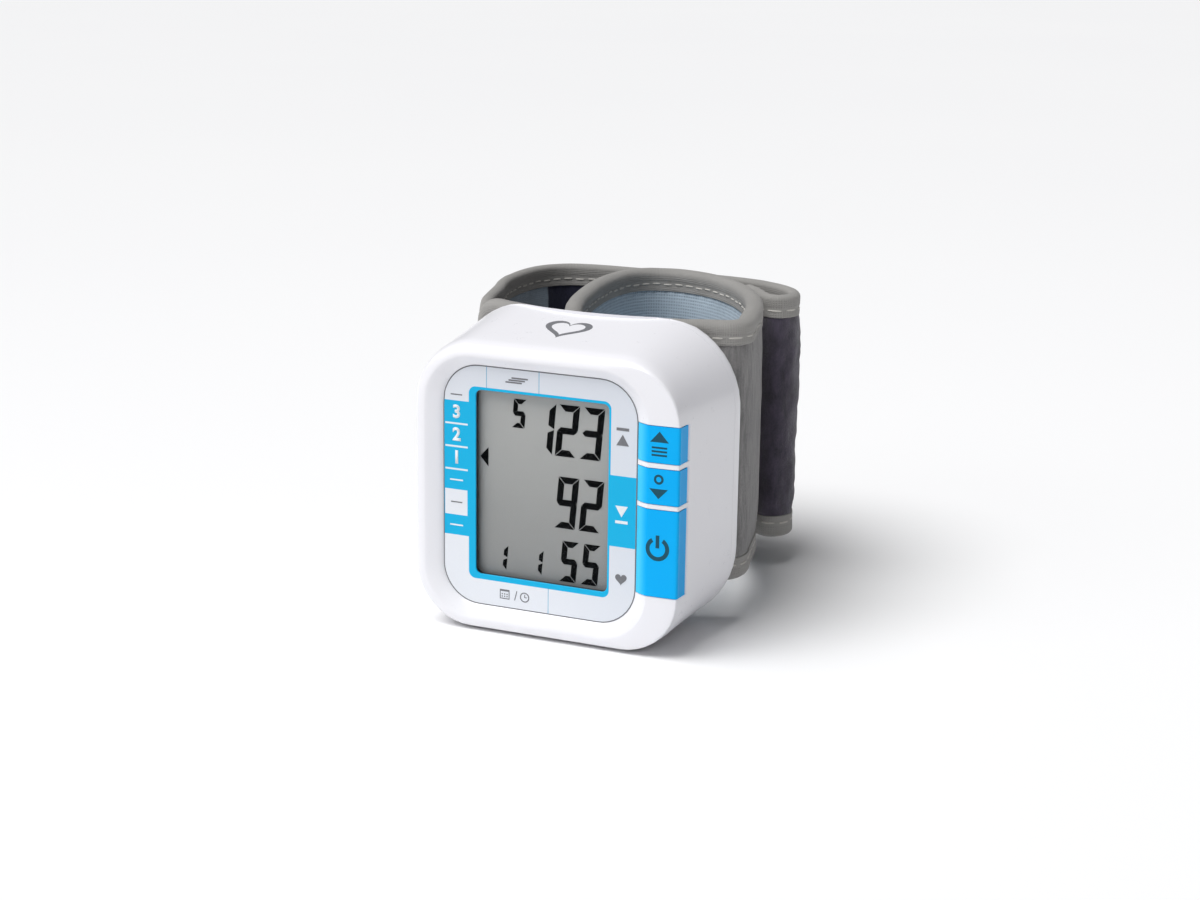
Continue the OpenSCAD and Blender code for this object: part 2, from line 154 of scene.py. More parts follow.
def shell(outer, inner, keep=None, closed=False, cap=False):
    """Closed wall between two grids of the same size: both skins, and a rim along every open edge.

    `keep` says which grid cells are there, so a False cell is an opening. `cap`
    closes the last row of each skin with one polygon.
    """
    rows, columns = outer.shape[:2]
    count = rows * columns
    quads = grid_quads(rows, columns, closed)
    quads = quads[keep] if keep is not None else quads.reshape(-1, 4)
    edges = np.concatenate([quads[:, [k, (k + 1) % 4]] for k in range(4)])
    key = edges.min(1) * count + edges.max(1)
    _, back, times = np.unique(key, return_inverse=True, return_counts=True)
    rim = edges[times[back] == 1]
    faces = [quads, quads[:, ::-1] + count]
    if cap:
        last = np.arange(count - columns, count)
        faces += [last[None, :], last[None, ::-1] + count]
        rim = rim[~np.all(rim >= count - columns, axis=1)]
    faces.append(np.stack([rim[:, 1], rim[:, 0], rim[:, 0] + count, rim[:, 1] + count], -1))
    return np.concatenate([outer.reshape(-1, 3), inner.reshape(-1, 3)]), faces


def soften(piece, width, segments=2, angle=35):
    """Rounds a piece's sharp edges; width in millimetres."""
    bevel = piece.modifiers.new("rounded edges", "BEVEL")
    bevel.width = width * MM
    bevel.segments = segments
    bevel.limit_method = "ANGLE"
    bevel.angle_limit = math.radians(angle)
    bevel.harden_normals = False
    return piece


def prisms(outlines, front, back):
    """Flat-faced solids from closed outlines in the XZ plane, between two depths along Y."""
    points, faces, base = [], [], 0
    for outline in outlines:
        outline = np.asarray(outline, float)
        n = len(outline)
        for y in (front, back):
            points.append(np.column_stack([outline[:, 0], np.full(n, y), outline[:, 1]]))
        loop = base + np.arange(n)
        ahead = np.roll(loop, -1)
        faces += [loop[None, :], loop[None, ::-1] + n, np.stack([ahead, loop, loop + n, ahead + n], -1)]
        base += 2 * n
    return np.concatenate(points), faces


def bend_to(piece, depth_at):
    """Moves each point of a flat mark along Y so that it lies on a face whose depth depends on X."""
    mesh = piece.data
    co = np.empty(len(mesh.vertices) * 3)
    mesh.vertices.foreach_get("co", co)
    co = co.reshape(-1, 3)
    co[:, 1] += depth_at(co[:, 0] / MM) * MM
    mesh.vertices.foreach_set("co", co.ravel())
    mesh.update()
    return piece


def round_rect(x0, x1, z0, z1, r, steps=6):
    """Outline of a rounded rectangle, counterclockwise seen from the front."""
    turn = np.linspace(0, np.pi / 2, steps)
    centres = [(x1 - r, z1 - r, 0), (x0 + r, z1 - r, 1), (x0 + r, z0 + r, 2), (x1 - r, z0 + r, 3)]
    return np.concatenate([np.column_stack([cx + r * np.cos(turn + q * np.pi / 2),
                                            cz + r * np.sin(turn + q * np.pi / 2)])
                           for cx, cz, q in centres])


def smooth_noise(u, v, cell_u, cell_v, seed):
    """Value noise from -1 to 1: random heights on a lattice, joined by smooth steps."""
    lattice = np.random.default_rng(seed).uniform(-1, 1, (97, 89))
    a, b = u / cell_u, v / cell_v
    i, j = np.floor(a).astype(int), np.floor(b).astype(int)
    s, t = a - i, b - j
    s, t = s * s * (3 - 2 * s), t * t * (3 - 2 * t)
    pick = lambda di, dj: lattice[(i + di) % 97, (j + dj) % 89]
    near = pick(0, 0) * (1 - s) + pick(1, 0) * s
    far = pick(0, 1) * (1 - s) + pick(1, 1) * s
    return near * (1 - t) + far * t


# ---------------------------------------------------------------------------
# Materials
class Wire:
    """A node's output socket; arithmetic on it adds Math nodes."""

    def __init__(self, finish, socket):
        self.finish = finish
        self.socket = socket

    def _math(self, operation, *values, clamp=False):
        settings = {"operation": operation, "use_clamp": clamp}
        return self.finish.node("ShaderNodeMath", settings, dict(enumerate(values)))

    def __add__(self, other):
        return self._math("ADD", self, other)

    def __sub__(self, other):
        return self._math("SUBTRACT", self, other)

    def __rsub__(self, other):
        return self._math("SUBTRACT", other, self)

    def __mul__(self, other):
        return self._math("MULTIPLY", self, other)

    def __truediv__(self, other):
        return self._math("DIVIDE", self, other)

    __radd__ = __add__
    __rmul__ = __mul__

    def sine(self):
        """The sine, in radians."""
        return self._math("SINE", self)

    def size(self):
        """The value without its sign."""
        return self._math("ABSOLUTE", self)

    def clamped(self):
        """Held between 0 and 1."""
        return self._math("ADD", self, 0.0, clamp=True)

    def above(self, low, soft):
        """0 below low, rising to 1 over the width soft."""
        return ((self - low) / soft).clamped()

    def between(self, low, high, soft=0.06):
        """1 from low to high, with soft edges."""
        return self.above(low - soft / 2, soft) * (1 - self.above(high - soft / 2, soft))

    def either(self, other):
        """The larger of two values."""
        return self._math("MAXIMUM", self, other)

    def at_least(self, low):
        """Held at or above low."""
        return self._math("MAXIMUM", self, low)

    def root(self):
        """The square root."""
        return self._math("SQRT", self)


class Finish:
    """A material on the Principled shader, built by node() and by arithmetic on its wires."""

    def __init__(self, name, roughness=0.5, **constants):
        self.material = bpy.data.materials.new(name)
        self.material.use_nodes = True
        self.tree = self.material.node_tree
        self.tree.nodes.clear()
        self.shader = self.tree.nodes.new("ShaderNodeBsdfPrincipled")
        output = self.tree.nodes.new("ShaderNodeOutputMaterial")
        self.tree.links.new(self.shader.outputs[0], output.inputs[0])
        self.shader.inputs["Roughness"].default_value = roughness
        for key, value in constants.items():
            self.shader.inputs[key.replace("_", " ")].default_value = value

    def node(self, kind, settings=None, values=None, out=0):
        """Adds a node: its settings first, then its input sockets, each a number, a tuple or a wire."""
        node = self.tree.nodes.new(kind)
        for key, value in (settings or {}).items():
            setattr(node, key, value)
        for key, value in (values or {}).items():
            if isinstance(value, Wire):
                self.tree.links.new(value.socket, node.inputs[key])
            else:
                node.inputs[key].default_value = value
        return Wire(self, node.outputs[out])

    def place(self, scale=(1000.0, 1000.0, 1000.0), uv=False):
        """Object coordinates, or the cloth's own, scaled from metres to the pattern's unit."""
        source = self.node("ShaderNodeTexCoord", out="UV" if uv else "Object")
        return self.node("ShaderNodeMapping", {}, {"Vector": source, "Scale": scale})

    def axes(self, uv=False):
        """The coordinates in millimetres as three wires."""
        vector = self.place(uv=uv)
        return [self.node("ShaderNodeSeparateXYZ", {}, {0: vector}, out=k) for k in range(3)]

    def noise(self, scale, detail=3.0, rough=0.5, uv=False):
        """Noise from 0 to 1; scale is the pattern's frequency per millimetre along each axis."""
        per_metre = tuple(1000.0 * s for s in scale)
        return self.node("ShaderNodeTexNoise", {}, {"Vector": self.place(per_metre, uv), "Scale": 1.0,
                                                    "Detail": detail, "Roughness": rough})

    def mix(self, factor, first, second):
        """The first colour at factor 0, running to the second at 1."""
        return self.node("ShaderNodeMix", {"data_type": "RGBA"}, {0: factor, 6: first, 7: second}, out=2)

    def rounded_area(self, x, z, x_span, z_span, radius, soft=0.06):
        """1 inside a rounded rectangle: where the shrunk rectangle is nearer than the radius."""
        across = ((x - sum(x_span) / 2).size() - (x_span[1] - x_span[0]) / 2 + radius).at_least(0.0)
        upward = ((z - sum(z_span) / 2).size() - (z_span[1] - z_span[0]) / 2 + radius).at_least(0.0)
        return 1 - (across * across + upward * upward).root().above(radius - soft / 2, soft)

    def feed(self, **wires):
        """Joins wires to the shader's sockets; an underscore stands for a space."""
        for key, wire in wires.items():
            self.tree.links.new(wire.socket, self.shader.inputs[key.replace("_", " ")])
        return self

    def bump(self, height, strength=0.3, distance=0.0002):
        """Joins a height in millimetres, or 0 to 1 times distance, to the shader's Normal."""
        values = {"Strength": strength, "Distance": distance, "Height": height}
        return self.feed(Normal=self.node("ShaderNodeBump", {}, values))

    def on(self, *pieces):
        """Makes this the only material of each piece."""
        for piece in pieces:
            piece.data.materials.clear()
            piece.data.materials.append(self.material)
        return self


def rgb(red, green, blue):
    """Linear colour from display values 0 to 255."""
    value = np.array([red, green, blue]) / 255.0
    linear = np.where(value <= 0.04045, value / 12.92, ((value + 0.055) / 1.055) ** 2.4)
    return (*linear.tolist(), 1.0)


def moulded(name, light, dark, roughness):
    """Moulded plastic: a faint cloudy tint, a fine spark-eroded grain and uneven gloss."""
    f = Finish(name, roughness)
    cloud = f.noise((0.05, 0.05, 0.05), 2.0)
    fine = f.noise((3.0, 3.0, 3.0), 4.0, 0.6)
    f.feed(Base_Color=f.mix(cloud, rgb(*light), rgb(*dark)),
           Roughness=(fine * 0.12 + cloud * 0.08 + (roughness - 0.1)).clamped())
    return f.bump(fine, 0.35, 0.00004)


def metal(name, light, dark, roughness):
    """Plated metal with fine drawn scratches along Z and dull patches."""
    f = Finish(name, roughness, Metallic=1.0)
    streak = f.noise((6.0, 6.0, 0.4), 3.0, 0.6)
    patch = f.noise((0.4, 0.4, 0.4), 3.0)
    f.feed(Base_Color=f.mix(patch, rgb(*light), rgb(*dark)),
           Roughness=(streak * 0.15 + patch * 0.2 + (roughness - 0.15)).clamped())
    return f.bump(streak, 0.2, 0.00003)


def case_finish():
    """Glossy white case: cool white, greyer near the floor, painted shade inside the window hole, uneven
    gloss.
    """
    f = Finish("case plastic", 0.3, Specular_IOR_Level=0.5, Coat_Roughness=0.12, Coat_Weight=0.25)
    x, y, z = f.axes()
    cloud = f.noise((0.03, 0.03, 0.03), 2.0)
    fine = f.noise((2.5, 2.5, 2.5), 4.0, 0.6)
    rub = f.noise((0.25, 0.25, 0.25), 5.0, 0.65)
    tint = f.mix(cloud, rgb(247, 247, 251), rgb(241, 240, 245))
    low = 1 - z.above(0.0, 5.0)
    tint = f.mix(low * rub * 0.25, tint, rgb(214, 210, 208))
    # Painted shade: behind the bed, in the window hole, the walls are painted near black where the sunken
    # display lies in shadow.
    inside = f.mix(y.above(BED_Y + 0.05, 0.1) * x.between(-19.2, 17.2) * z.between(13.8, 60.9), tint,
                   rgb(42, 46, 50))
    f.feed(Base_Color=inside, Roughness=(fine * 0.04 + rub * 0.05 + 0.24).clamped())
    return f.bump(fine, 0.1, 0.000006)


def key_finish():
    """Sky-blue keys, with painted light: a paler blue painted as a highlight beside the panel, where the key
    faces the light, and a deeper blue painted as shade on the side wrap.
    """
    f = Finish("key blue", 0.32, Specular_IOR_Level=0.12)
    x, y, _ = f.axes()
    cloud = f.noise((0.12, 0.12, 0.12), 2.0)
    fine = f.noise((3.0, 3.0, 3.0), 4.0, 0.6)
    face = f.mix(cloud, rgb(0, 186, 255), rgb(0, 176, 252))
    # Painted highlight: the key's rise beside the panel gets a paler blue where it faces the light.
    lit_slope = f.mix(1 - x.above(25.2, 1.8), face, rgb(70, 206, 255))
    # Painted shade: the side wrap gets a deeper blue where it turns away from the light.
    wrap = f.mix(y.above(RIDGE_Y + 0.8, 1.2) * x.above(34.0, 0.6), lit_slope, rgb(0, 172, 246))
    f.feed(Base_Color=wrap, Roughness=(fine * 0.12 + cloud * 0.1 + 0.2).clamped())
    return f.bump(fine, 0.15, 0.00001)


def panel_finish():
    """Printed panel film: silver gradient, blue window frame and tabs, thin rules.

    Each printed area is a product of soft steps in X and Z, in millimetres on the panel.
    """
    f = Finish("panel print", 0.3, Specular_IOR_Level=0.25)
    x, _, z = f.axes()
    fine = f.noise((5.0, 5.0, 5.0), 3.0, 0.6)
    slant = ((x + z) * 0.02).above(0.1, 0.9)
    silver = f.mix(slant, rgb(240, 243, 249), rgb(226, 230, 238))
    silver = f.mix(fine * 0.25, silver, rgb(200, 206, 214))
    low, high = PANEL_LOW, PANEL_HIGH
    frame_band = f.rounded_area(x, z, (-20.4, 17.1), (13.0, 61.1), 1.8)
    left_tab = x.between(low[0] + 0.1, -20.2) * z.between(23.4, 57.1)
    pale = x.between(-26.9, -20.8) * z.between(28.5, 34.9)
    right_tab = x.between(16.9, high[0] - 0.1) * z.between(26.1, 43.5)
    blue = frame_band.either(left_tab * (1 - pale)).either(right_tab)
    rules = [z.between(level - 0.22, level + 0.22) for level in (51.4, 45.7, 40.0)]
    white = x.between(-26.8, -20.7) * rules[0].either(rules[1]).either(rules[2])
    top_lines = x.between(-15.7, -15.55, 0.04).either(x.between(-1.8, -1.65, 0.04)) * z.above(60.9, 0.05)
    low_line = x.between(1.05, 1.2, 0.04) * (1 - z.above(13.3, 0.05))
    shade = f.mix(blue, silver, rgb(0, 182, 232))
    shade = f.mix(white, shade, rgb(232, 240, 244))
    shade = f.mix(top_lines.either(low_line), shade, rgb(60, 165, 205))
    f.feed(Base_Color=shade, Roughness=(fine * 0.1 + 0.24).clamped())
    return f.bump(fine, 0.12, 0.00002)


def display_finish():
    """Liquid crystal display: grey, lighter towards the top, with the faint lattice of its cells and a
    painted shadow along its left and top edges.
    """
    f = Finish("lcd glass", 0.35, Specular_IOR_Level=0.4)
    x, _, z = f.axes()
    cloud = f.noise((0.06, 0.06, 0.06), 2.0)
    fall = (z - 12.0) / 50.0
    shade = f.mix(fall.clamped(), rgb(146, 147, 146), rgb(190, 191, 189))
    lattice = ((x * 14.0).sine() * (z * 14.0).sine()).size()
    shade = f.mix(lattice * 0.06 + cloud * 0.08, shade, rgb(112, 114, 112))
    # Painted shadow: the left and top edges darken where the window's rim shades the sunken display.
    edge = (1 - x.above(-18.8, 0.8)).either(z.above(59.6, 0.8))
    shade = f.mix(edge * 0.6, shade, rgb(68, 70, 72))
    f.feed(Base_Color=shade, Roughness=cloud * 0.1 + 0.3)
    return f


def pile_finish(name, light, dark, streak_scale, fuzz=0.35):
    """Brushed pile cloth: vertical streaks of lighter and darker fibre, a soft nap and a dull sheen."""
    f = Finish(name, 0.95, Sheen_Weight=fuzz, Sheen_Roughness=0.6, Specular_IOR_Level=0.2)
    streak = f.noise(streak_scale, 4.0, 0.6, uv=True)
    fibre = f.noise((5.0, 1.6, 1.0), 5.0, 0.7, uv=True)
    worn = f.noise((0.08, 0.05, 1.0), 3.0, uv=True)
    blend = ((streak - 0.5) * 1.6 + (fibre - 0.5) * 0.9 + (worn - 0.5) * 0.5 + 0.5).clamped()
    f.feed(Base_Color=f.mix(blend, rgb(*dark), rgb(*light)), Roughness=(fibre * 0.15 + 0.82).clamped())
    return f.bump(streak * 0.6 + fibre * 0.8, 0.8, 0.0003)


def weave_finish(name, light, dark, pitch, tone=0.5):
    """Woven cloth: two crossing threads, each a sine along one axis, over and under in turn."""
    f = Finish(name, 0.85, Sheen_Weight=0.15, Sheen_Roughness=0.5, Specular_IOR_Level=0.25)
    u, v, _ = f.axes(uv=True)
    wave = 2 * math.pi / pitch
    warp = (u * wave).sine().size()
    weft = (v * wave).sine().size()
    thread = warp.either(weft)
    slub = f.noise((0.5, 3.0, 1.0), 3.0, 0.6, uv=True)
    worn = f.noise((0.07, 0.07, 1.0), 3.0, uv=True)
    blend = (thread * (1 - tone) + slub * 0.35 + worn * 0.35 - 0.2).clamped()
    f.feed(Base_Color=f.mix(blend, rgb(*dark), rgb(*light)), Roughness=(slub * 0.15 + 0.75).clamped())
    return f.bump(thread + slub * 0.5, 0.6, 0.0002)


def lining_finish():
    """Strap lining: pale blue weave near the case, then dark navy loop cloth further along."""
    f = Finish("strap lining", 0.9, Sheen_Weight=0.25, Sheen_Roughness=0.5, Specular_IOR_Level=0.2)
    u, v, _ = f.axes(uv=True)
    wave = 2 * math.pi / 1.1
    thread = (u * wave).sine().size().either((v * wave).sine().size())
    loops = f.noise((2.2, 1.4, 1.0), 4.0, 0.65, uv=True)
    worn = f.noise((0.07, 0.07, 1.0), 3.0, uv=True)
    pale = f.mix(thread * 0.5 + worn * 0.4, rgb(112, 130, 150), rgb(186, 200, 212))
    deep = f.mix(loops, rgb(20, 22, 36), rgb(56, 58, 80))
    border = (u + worn * 3.0).above(58.0, 0.5)
    f.feed(Base_Color=f.mix(border, pale, deep), Roughness=(loops * 0.15 + 0.78).clamped())
    return f.bump(thread * (1 - border) + loops, 0.6, 0.0002)


def board_finish():
    """Circuit board: green mask, brighter tracks in two directions and gold pads."""
    f = Finish("board green", 0.4, Specular_IOR_Level=0.5)
    x, _, z = f.axes()
    tracks = (x * 2.4).sine().above(0.86, 0.05).either((z * 2.4).sine().above(0.88, 0.05))
    region = f.noise((0.16, 0.16, 0.16), 2.0).above(0.45, 0.08)
    base = f.mix(tracks * region, rgb(18, 84, 46), rgb(40, 122, 66))
    pads = ((x * 1.7).sine() * (z * 1.7).sine()).above(0.93, 0.02)
    f.feed(Base_Color=f.mix(pads, base, rgb(196, 160, 84)), Roughness=region * 0.15 + 0.3)
    return f


def cell_finish():
    """Battery cell sleeve: dark label with a copper band at the top and fine printed rings."""
    f = Finish("battery skin", 0.3, Metallic=0.35)
    _, _, z = f.axes()
    band = z.above(48.0, 0.1)
    rings = (z * 3.0).sine().above(0.95, 0.04)
    grime = f.noise((0.3, 0.3, 0.3), 3.0)
    base = f.mix(band, rgb(34, 36, 42), rgb(190, 118, 62))
    f.feed(Base_Color=f.mix(rings * 0.3, base, rgb(180, 182, 186)), Roughness=grime * 0.2 + 0.22)
    return f


def soft_plastic(name, light, dark, roughness, alpha=1.0):
    """Rubber or tubing: cloudy, slightly dusty, with a soft gloss."""
    f = Finish(name, roughness, Alpha=alpha)
    cloud = f.noise((0.5, 0.5, 0.5), 3.0)
    dust = f.noise((4.0, 4.0, 4.0), 4.0, 0.7)
    f.feed(Base_Color=f.mix(cloud, rgb(*light), rgb(*dark)),
           Roughness=(dust * 0.2 + roughness - 0.1).clamped())
    return f.bump(dust, 0.2, 0.00004)


def ink_finish(name, light, dark, roughness=0.45, shine=0.3):
    """Printed or etched marks: solid ink with the faint mottle of screen printing."""
    f = Finish(name, roughness, Specular_IOR_Level=shine)
    mottle = f.noise((2.0, 2.0, 2.0), 3.0, 0.6)
    return f.feed(Base_Color=f.mix(mottle, rgb(*light), rgb(*dark)),
                  Roughness=mottle * 0.2 + roughness - 0.1)


CASE = case_finish()
KEYS = key_finish()
PANEL = panel_finish()
DISPLAY = display_finish()
CLEAR = soft_plastic("window clear", (40, 44, 48), (30, 34, 38), 0.3, alpha=0.03)
WHITE = moulded("white plastic", (233, 233, 229), (222, 222, 216), 0.5)
BLACK = moulded("black plastic", (38, 40, 44), (26, 28, 31), 0.5)
BOARD = board_finish()
STEEL = metal("steel", (206, 208, 212), (172, 174, 180), 0.35)
BRASS = metal("brass", (206, 170, 98), (168, 132, 70), 0.35)
RUBBER = soft_plastic("grey rubber", (92, 94, 98), (72, 74, 78), 0.6)
TUBE = soft_plastic("tube clear", (226, 232, 232), (206, 214, 214), 0.3, alpha=0.55)
CELL = cell_finish()
GREY_PILE = pile_finish("cuff grey pile", (158, 156, 155), (88, 87, 89), (1.1, 0.12, 1.0))
DARK_PILE = pile_finish("strap dark fleece", (84, 76, 96), (22, 18, 30), (0.7, 0.2, 1.0), 0.45)
BLUE_WEAVE = weave_finish("cuff blue weave", (206, 222, 234), (92, 110, 130), 1.7, 0.35)
LINING = lining_finish()
BINDING = weave_finish("binding tape", (182, 180, 177), (128, 126, 123), 0.9, 0.55)
THREAD = weave_finish("sewing thread", (222, 220, 214), (188, 184, 178), 0.5)
HOOKS = pile_finish("hook tape", (120, 120, 122), (66, 66, 70), (1.5, 1.5, 1.0), 0.1)
INK = ink_finish("grey print", (128, 129, 133), (112, 113, 118))
DIGIT = ink_finish("display ink", (6, 7, 8), (2, 3, 4), 0.6, 0.05)
KEY_INK = ink_finish("key print", (6, 84, 104), (8, 70, 92))
PALE_INK = ink_finish("white print", (244, 248, 250), (230, 238, 242))

SLOT_FINISH = {"case_plastic": CASE, "panel_print": PANEL, "window_clear": CLEAR, "lcd_glass": DISPLAY,
               "key_blue": KEYS, "white_plastic": WHITE, "black_plastic": BLACK, "board_green": BOARD,
               "steel": STEEL, "rubber_grey": RUBBER, "tube_clear": TUBE, "battery_skin": CELL,
               "cuff_grey": GREY_PILE, "cuff_blue": BLUE_WEAVE, "binding_grey": BINDING,
               "fleece_dark": DARK_PILE, "hook_grey": HOOKS, "brass_part": BRASS}
for part in frame["record"]["subparts"]:
    finish = SLOT_FINISH[part["material_slot"]]
    for place in frame["nodes"][part["node"]].material_slots:
        place.material = finish.material


# ---------------------------------------------------------------------------
# Case outline
def along(y):
    """0 at the ridge, 1 at the back face."""
    return np.clip((y - RIDGE_Y) / DEPTH, 0, None)


def half_at(y):
    """Half the case's width at depth y: it widens as the share of the depth to the power 1.5."""
    return FRONT_HALF + (BACK_HALF - FRONT_HALF) * along(y) ** 1.5


def top_at(y):
    """Height of the case's top at depth y."""
    return FRONT_TOP + (BACK_TOP - FRONT_TOP) * along(y)


def corner_at(y):
    """Radius of the case's corners at depth y."""
    return FRONT_CORNER + (BACK_CORNER - FRONT_CORNER) * along(y)


def hollow_at(x):
    """Depth of the saddle hollow at x: a vertical cylinder behind the case."""
    return BACK_Y - SADDLE_DEEP + SADDLE_R - np.sqrt(SADDLE_R ** 2 - np.clip(np.abs(x), 0, 60) ** 2)


def spread(stops, most):
    """Numbers that hold every stop, with equal steps of at most `most` between them."""
    pieces = [np.linspace(a, b, max(2, int(np.ceil(abs(b - a) / most)) + 1))[:-1]
              for a, b in zip(stops[:-1], stops[1:])]
    return np.concatenate(pieces + [[stops[-1]]])


key_edges = sorted(edge for span in KEY_SPANS.values() for edge in span)
RIGHT_LINES = spread(key_edges, 3.0)
LEFT_LINES = np.concatenate([np.linspace(DOOR_Z[1], DOOR_Z[1] - 1.6, 6)[:-1],
                             spread([DOOR_Z[1] - 1.6, DOOR_Z[0] + 1.6], 3.0)[:-1],
                             np.linspace(DOOR_Z[0] + 1.6, DOOR_Z[0], 6)])
ARC, FLAT = 10, 14


def outline(x0, x1, z0, z1, r):
    """Rounded rectangle as columns: right side up, over the top, left side down, along the bottom.

    Side columns stay at fixed heights, so that openings in the sides have straight edges; on a
    corner arc x follows from z by the circle. All five numbers are arrays (rows, columns).
    """
    n_right, n_left = len(RIGHT_LINES), len(LEFT_LINES)
    sizes = [n_right, ARC, FLAT, ARC, n_left, ARC, FLAT, ARC]
    stops = np.cumsum([0] + sizes)
    part = [slice(a, b) for a, b in zip(stops[:-1], stops[1:])]
    x = np.empty(np.broadcast(x0, x1, z0, z1, r).shape)
    z = np.empty_like(x)

    def held(lines, g):
        rank = np.argsort(np.argsort(lines))
        return np.clip(lines, z0[:, g] + 0.02 * (rank + 1), z1[:, g] - 0.02 * (len(lines) - rank))

    def pulled(height, g):
        d = np.maximum(np.maximum(z0[:, g] + r[:, g] - height, height - z1[:, g] + r[:, g]), 0)
        return r[:, g] - np.sqrt(np.maximum(r[:, g] ** 2 - d ** 2, 0))

    def start_angle(height, top, g):
        reach = height - (z1[:, g] - r[:, g]) if top else (z0[:, g] + r[:, g]) - height
        return np.arcsin(np.clip(reach / r[:, g], 0, 1))

    z[:, part[0]] = held(RIGHT_LINES, part[0])
    z[:, part[4]] = held(LEFT_LINES, part[4])
    right_top, right_low = z[:, n_right - 1, None], z[:, 0, None]
    left_top, left_low = z[:, part[4].start, None], z[:, part[4].stop - 1, None]
    rising = np.arange(1, ARC + 1) / ARC
    falling = np.arange(0, ARC) / ARC
    run = np.arange(1, FLAT + 1) / (FLAT + 1)
    g = part[0]
    x[:, g] = x1[:, g] - pulled(z[:, g], g)
    g = part[1]
    a = start_angle(right_top, True, g)
    a = a + (np.pi / 2 - a) * rising
    x[:, g], z[:, g] = (x1 - r)[:, g] + r[:, g] * np.cos(a), (z1 - r)[:, g] + r[:, g] * np.sin(a)
    g = part[2]
    x[:, g], z[:, g] = (x1 - r)[:, g] + (x0 + 2 * r - x1)[:, g] * run, z1[:, g]
    g = part[3]
    a = start_angle(left_top, True, g)
    a = np.pi / 2 - (np.pi / 2 - a) * falling
    x[:, g], z[:, g] = (x0 + r)[:, g] - r[:, g] * np.cos(a), (z1 - r)[:, g] + r[:, g] * np.sin(a)
    g = part[4]
    x[:, g] = x0[:, g] + pulled(z[:, g], g)
    g = part[5]
    a = start_angle(left_low, False, g)
    a = a + (np.pi / 2 - a) * rising
    x[:, g], z[:, g] = (x0 + r)[:, g] - r[:, g] * np.cos(a), (z0 + r)[:, g] - r[:, g] * np.sin(a)
    g = part[6]
    x[:, g], z[:, g] = (x0 + r)[:, g] + (x1 - 2 * r - x0)[:, g] * run, z0[:, g]
    g = part[7]
    a = start_angle(right_low, False, g)
    a = np.pi / 2 - (np.pi / 2 - a) * falling
    x[:, g], z[:, g] = (x1 - r)[:, g] + r[:, g] * np.cos(a), (z0 + r)[:, g] - r[:, g] * np.sin(a)
    return x, z


COLUMNS = len(RIGHT_LINES) + len(LEFT_LINES) + 4 * ARC + 2 * FLAT


def wide(values):
    """Repeats one number per row over every column."""
    return np.repeat(np.asarray(values, float)[:, None], COLUMNS, axis=1)


def section(y, left, right, bottom, top, corner):
    """A row of the case skin: depth, then the outline's sides pulled in by the given amounts."""
    return [y, -half_at(y) + left, half_at(y) - right, bottom, top_at(y) - top, corner_at(y) - corner]


def fitted(rows):
    """Points of the skin through rows [y, x0, x1, z0, z1, r]."""
    rows = np.array(rows, float)
    x, z = outline(*[wide(rows[:, k]) for k in range(1, 6)])
    return np.stack([x, wide(rows[:, 0]), z], -1)


def wrapped(y_rows, inset, limit):
    """Points of the side walls at the given depths, pulled in by inset.

    Past y = 0 the rows close up so that the last follows the saddle hollow; the depth and the
    outline depend on each other, so both are worked out four times over.
    """
    y = wide(y_rows)
    last = y_rows[-1]
    for _ in range(4):
        x, z = outline(-half_at(y) + inset, half_at(y) - inset, np.zeros_like(y) + inset,
                       top_at(y) - inset, corner_at(y) - inset)
        room = np.minimum(limit, hollow_at(x))
        y = np.where(wide(y_rows) > 0, wide(y_rows) * room / limit, wide(y_rows)) if last > 0 else y
    return np.stack([x, y, z], -1)


def rounded_rows(rows, steps):
    """Rows on a smooth curve through the given ones: Catmull-Rom, with `steps` rows to each gap."""
    rows = np.array(rows, float)
    ends = np.concatenate([2 * rows[:1] - rows[1:2], rows, 2 * rows[-1:] - rows[-2:-1]])
    t = (np.arange(steps) / steps)[:, None]
    out = []
    for a, b, c, d in zip(ends[:-3], ends[1:-2], ends[2:-1], ends[3:]):
        out.append(0.5 * (2 * b + (c - a) * t + (2 * a - 5 * b + 4 * c - d) * t ** 2
                          + (3 * b - a - 3 * c + d) * t ** 3))
    return np.concatenate(out + [rows[-1:]])


panel_rect = [PANEL_LOW[0] - 0.05, PANEL_HIGH[0] + 0.05, PANEL_LOW[2] - 0.05, PANEL_HIGH[2] + 0.05]


def panel_row(y, grow):
    """The panel's outline at depth y, grown outwards."""
    return [y, panel_rect[0] - grow, panel_rect[1] + grow, panel_rect[2] - grow, panel_rect[3] + grow,
            PANEL_R + 0.8 * grow]


def window_row(y, grow):
    """The window's outline at depth y, grown outwards."""
    return [y, WINDOW_LOW[0] - grow, WINDOW_HIGH[0] + grow, WINDOW_LOW[2] - grow, WINDOW_HIGH[2] + grow,
            1.5]


RIM_STEPS = 4
rim_rows = rounded_rows([
    panel_row(PANEL_Y, 0), panel_row(PANEL_Y - 0.7, 0.9),
    section(RIDGE_Y + 0.15, 4.2, 8.1, 3.6, 3.2, 3.2),
    section(RIDGE_Y, 3.2, 6.9, 2.7, 2.4, 2.4),
    section(RIDGE_Y + 0.3, 1.8, 1.0, 1.6, 1.5, 1.3),
    section(RIDGE_Y + 0.6, 1.3, 0.05, 1.2, 1.1, 0.9),
    section(RIDGE_Y + 1.4, 0.7, 0, 0.8, 0.5, 0.45),
    section(RIDGE_Y + 3.5, 0.15, 0, 0.3, 0.08, 0.1),
    section(WRAP_Y, 0.02, 0, 0.02, 0, 0)], RIM_STEPS)
side_y = np.concatenate([[RIDGE_Y + 6.5], spread([DOOR_Y[0], DOOR_Y[1], PARTING_Y], 1.6)])


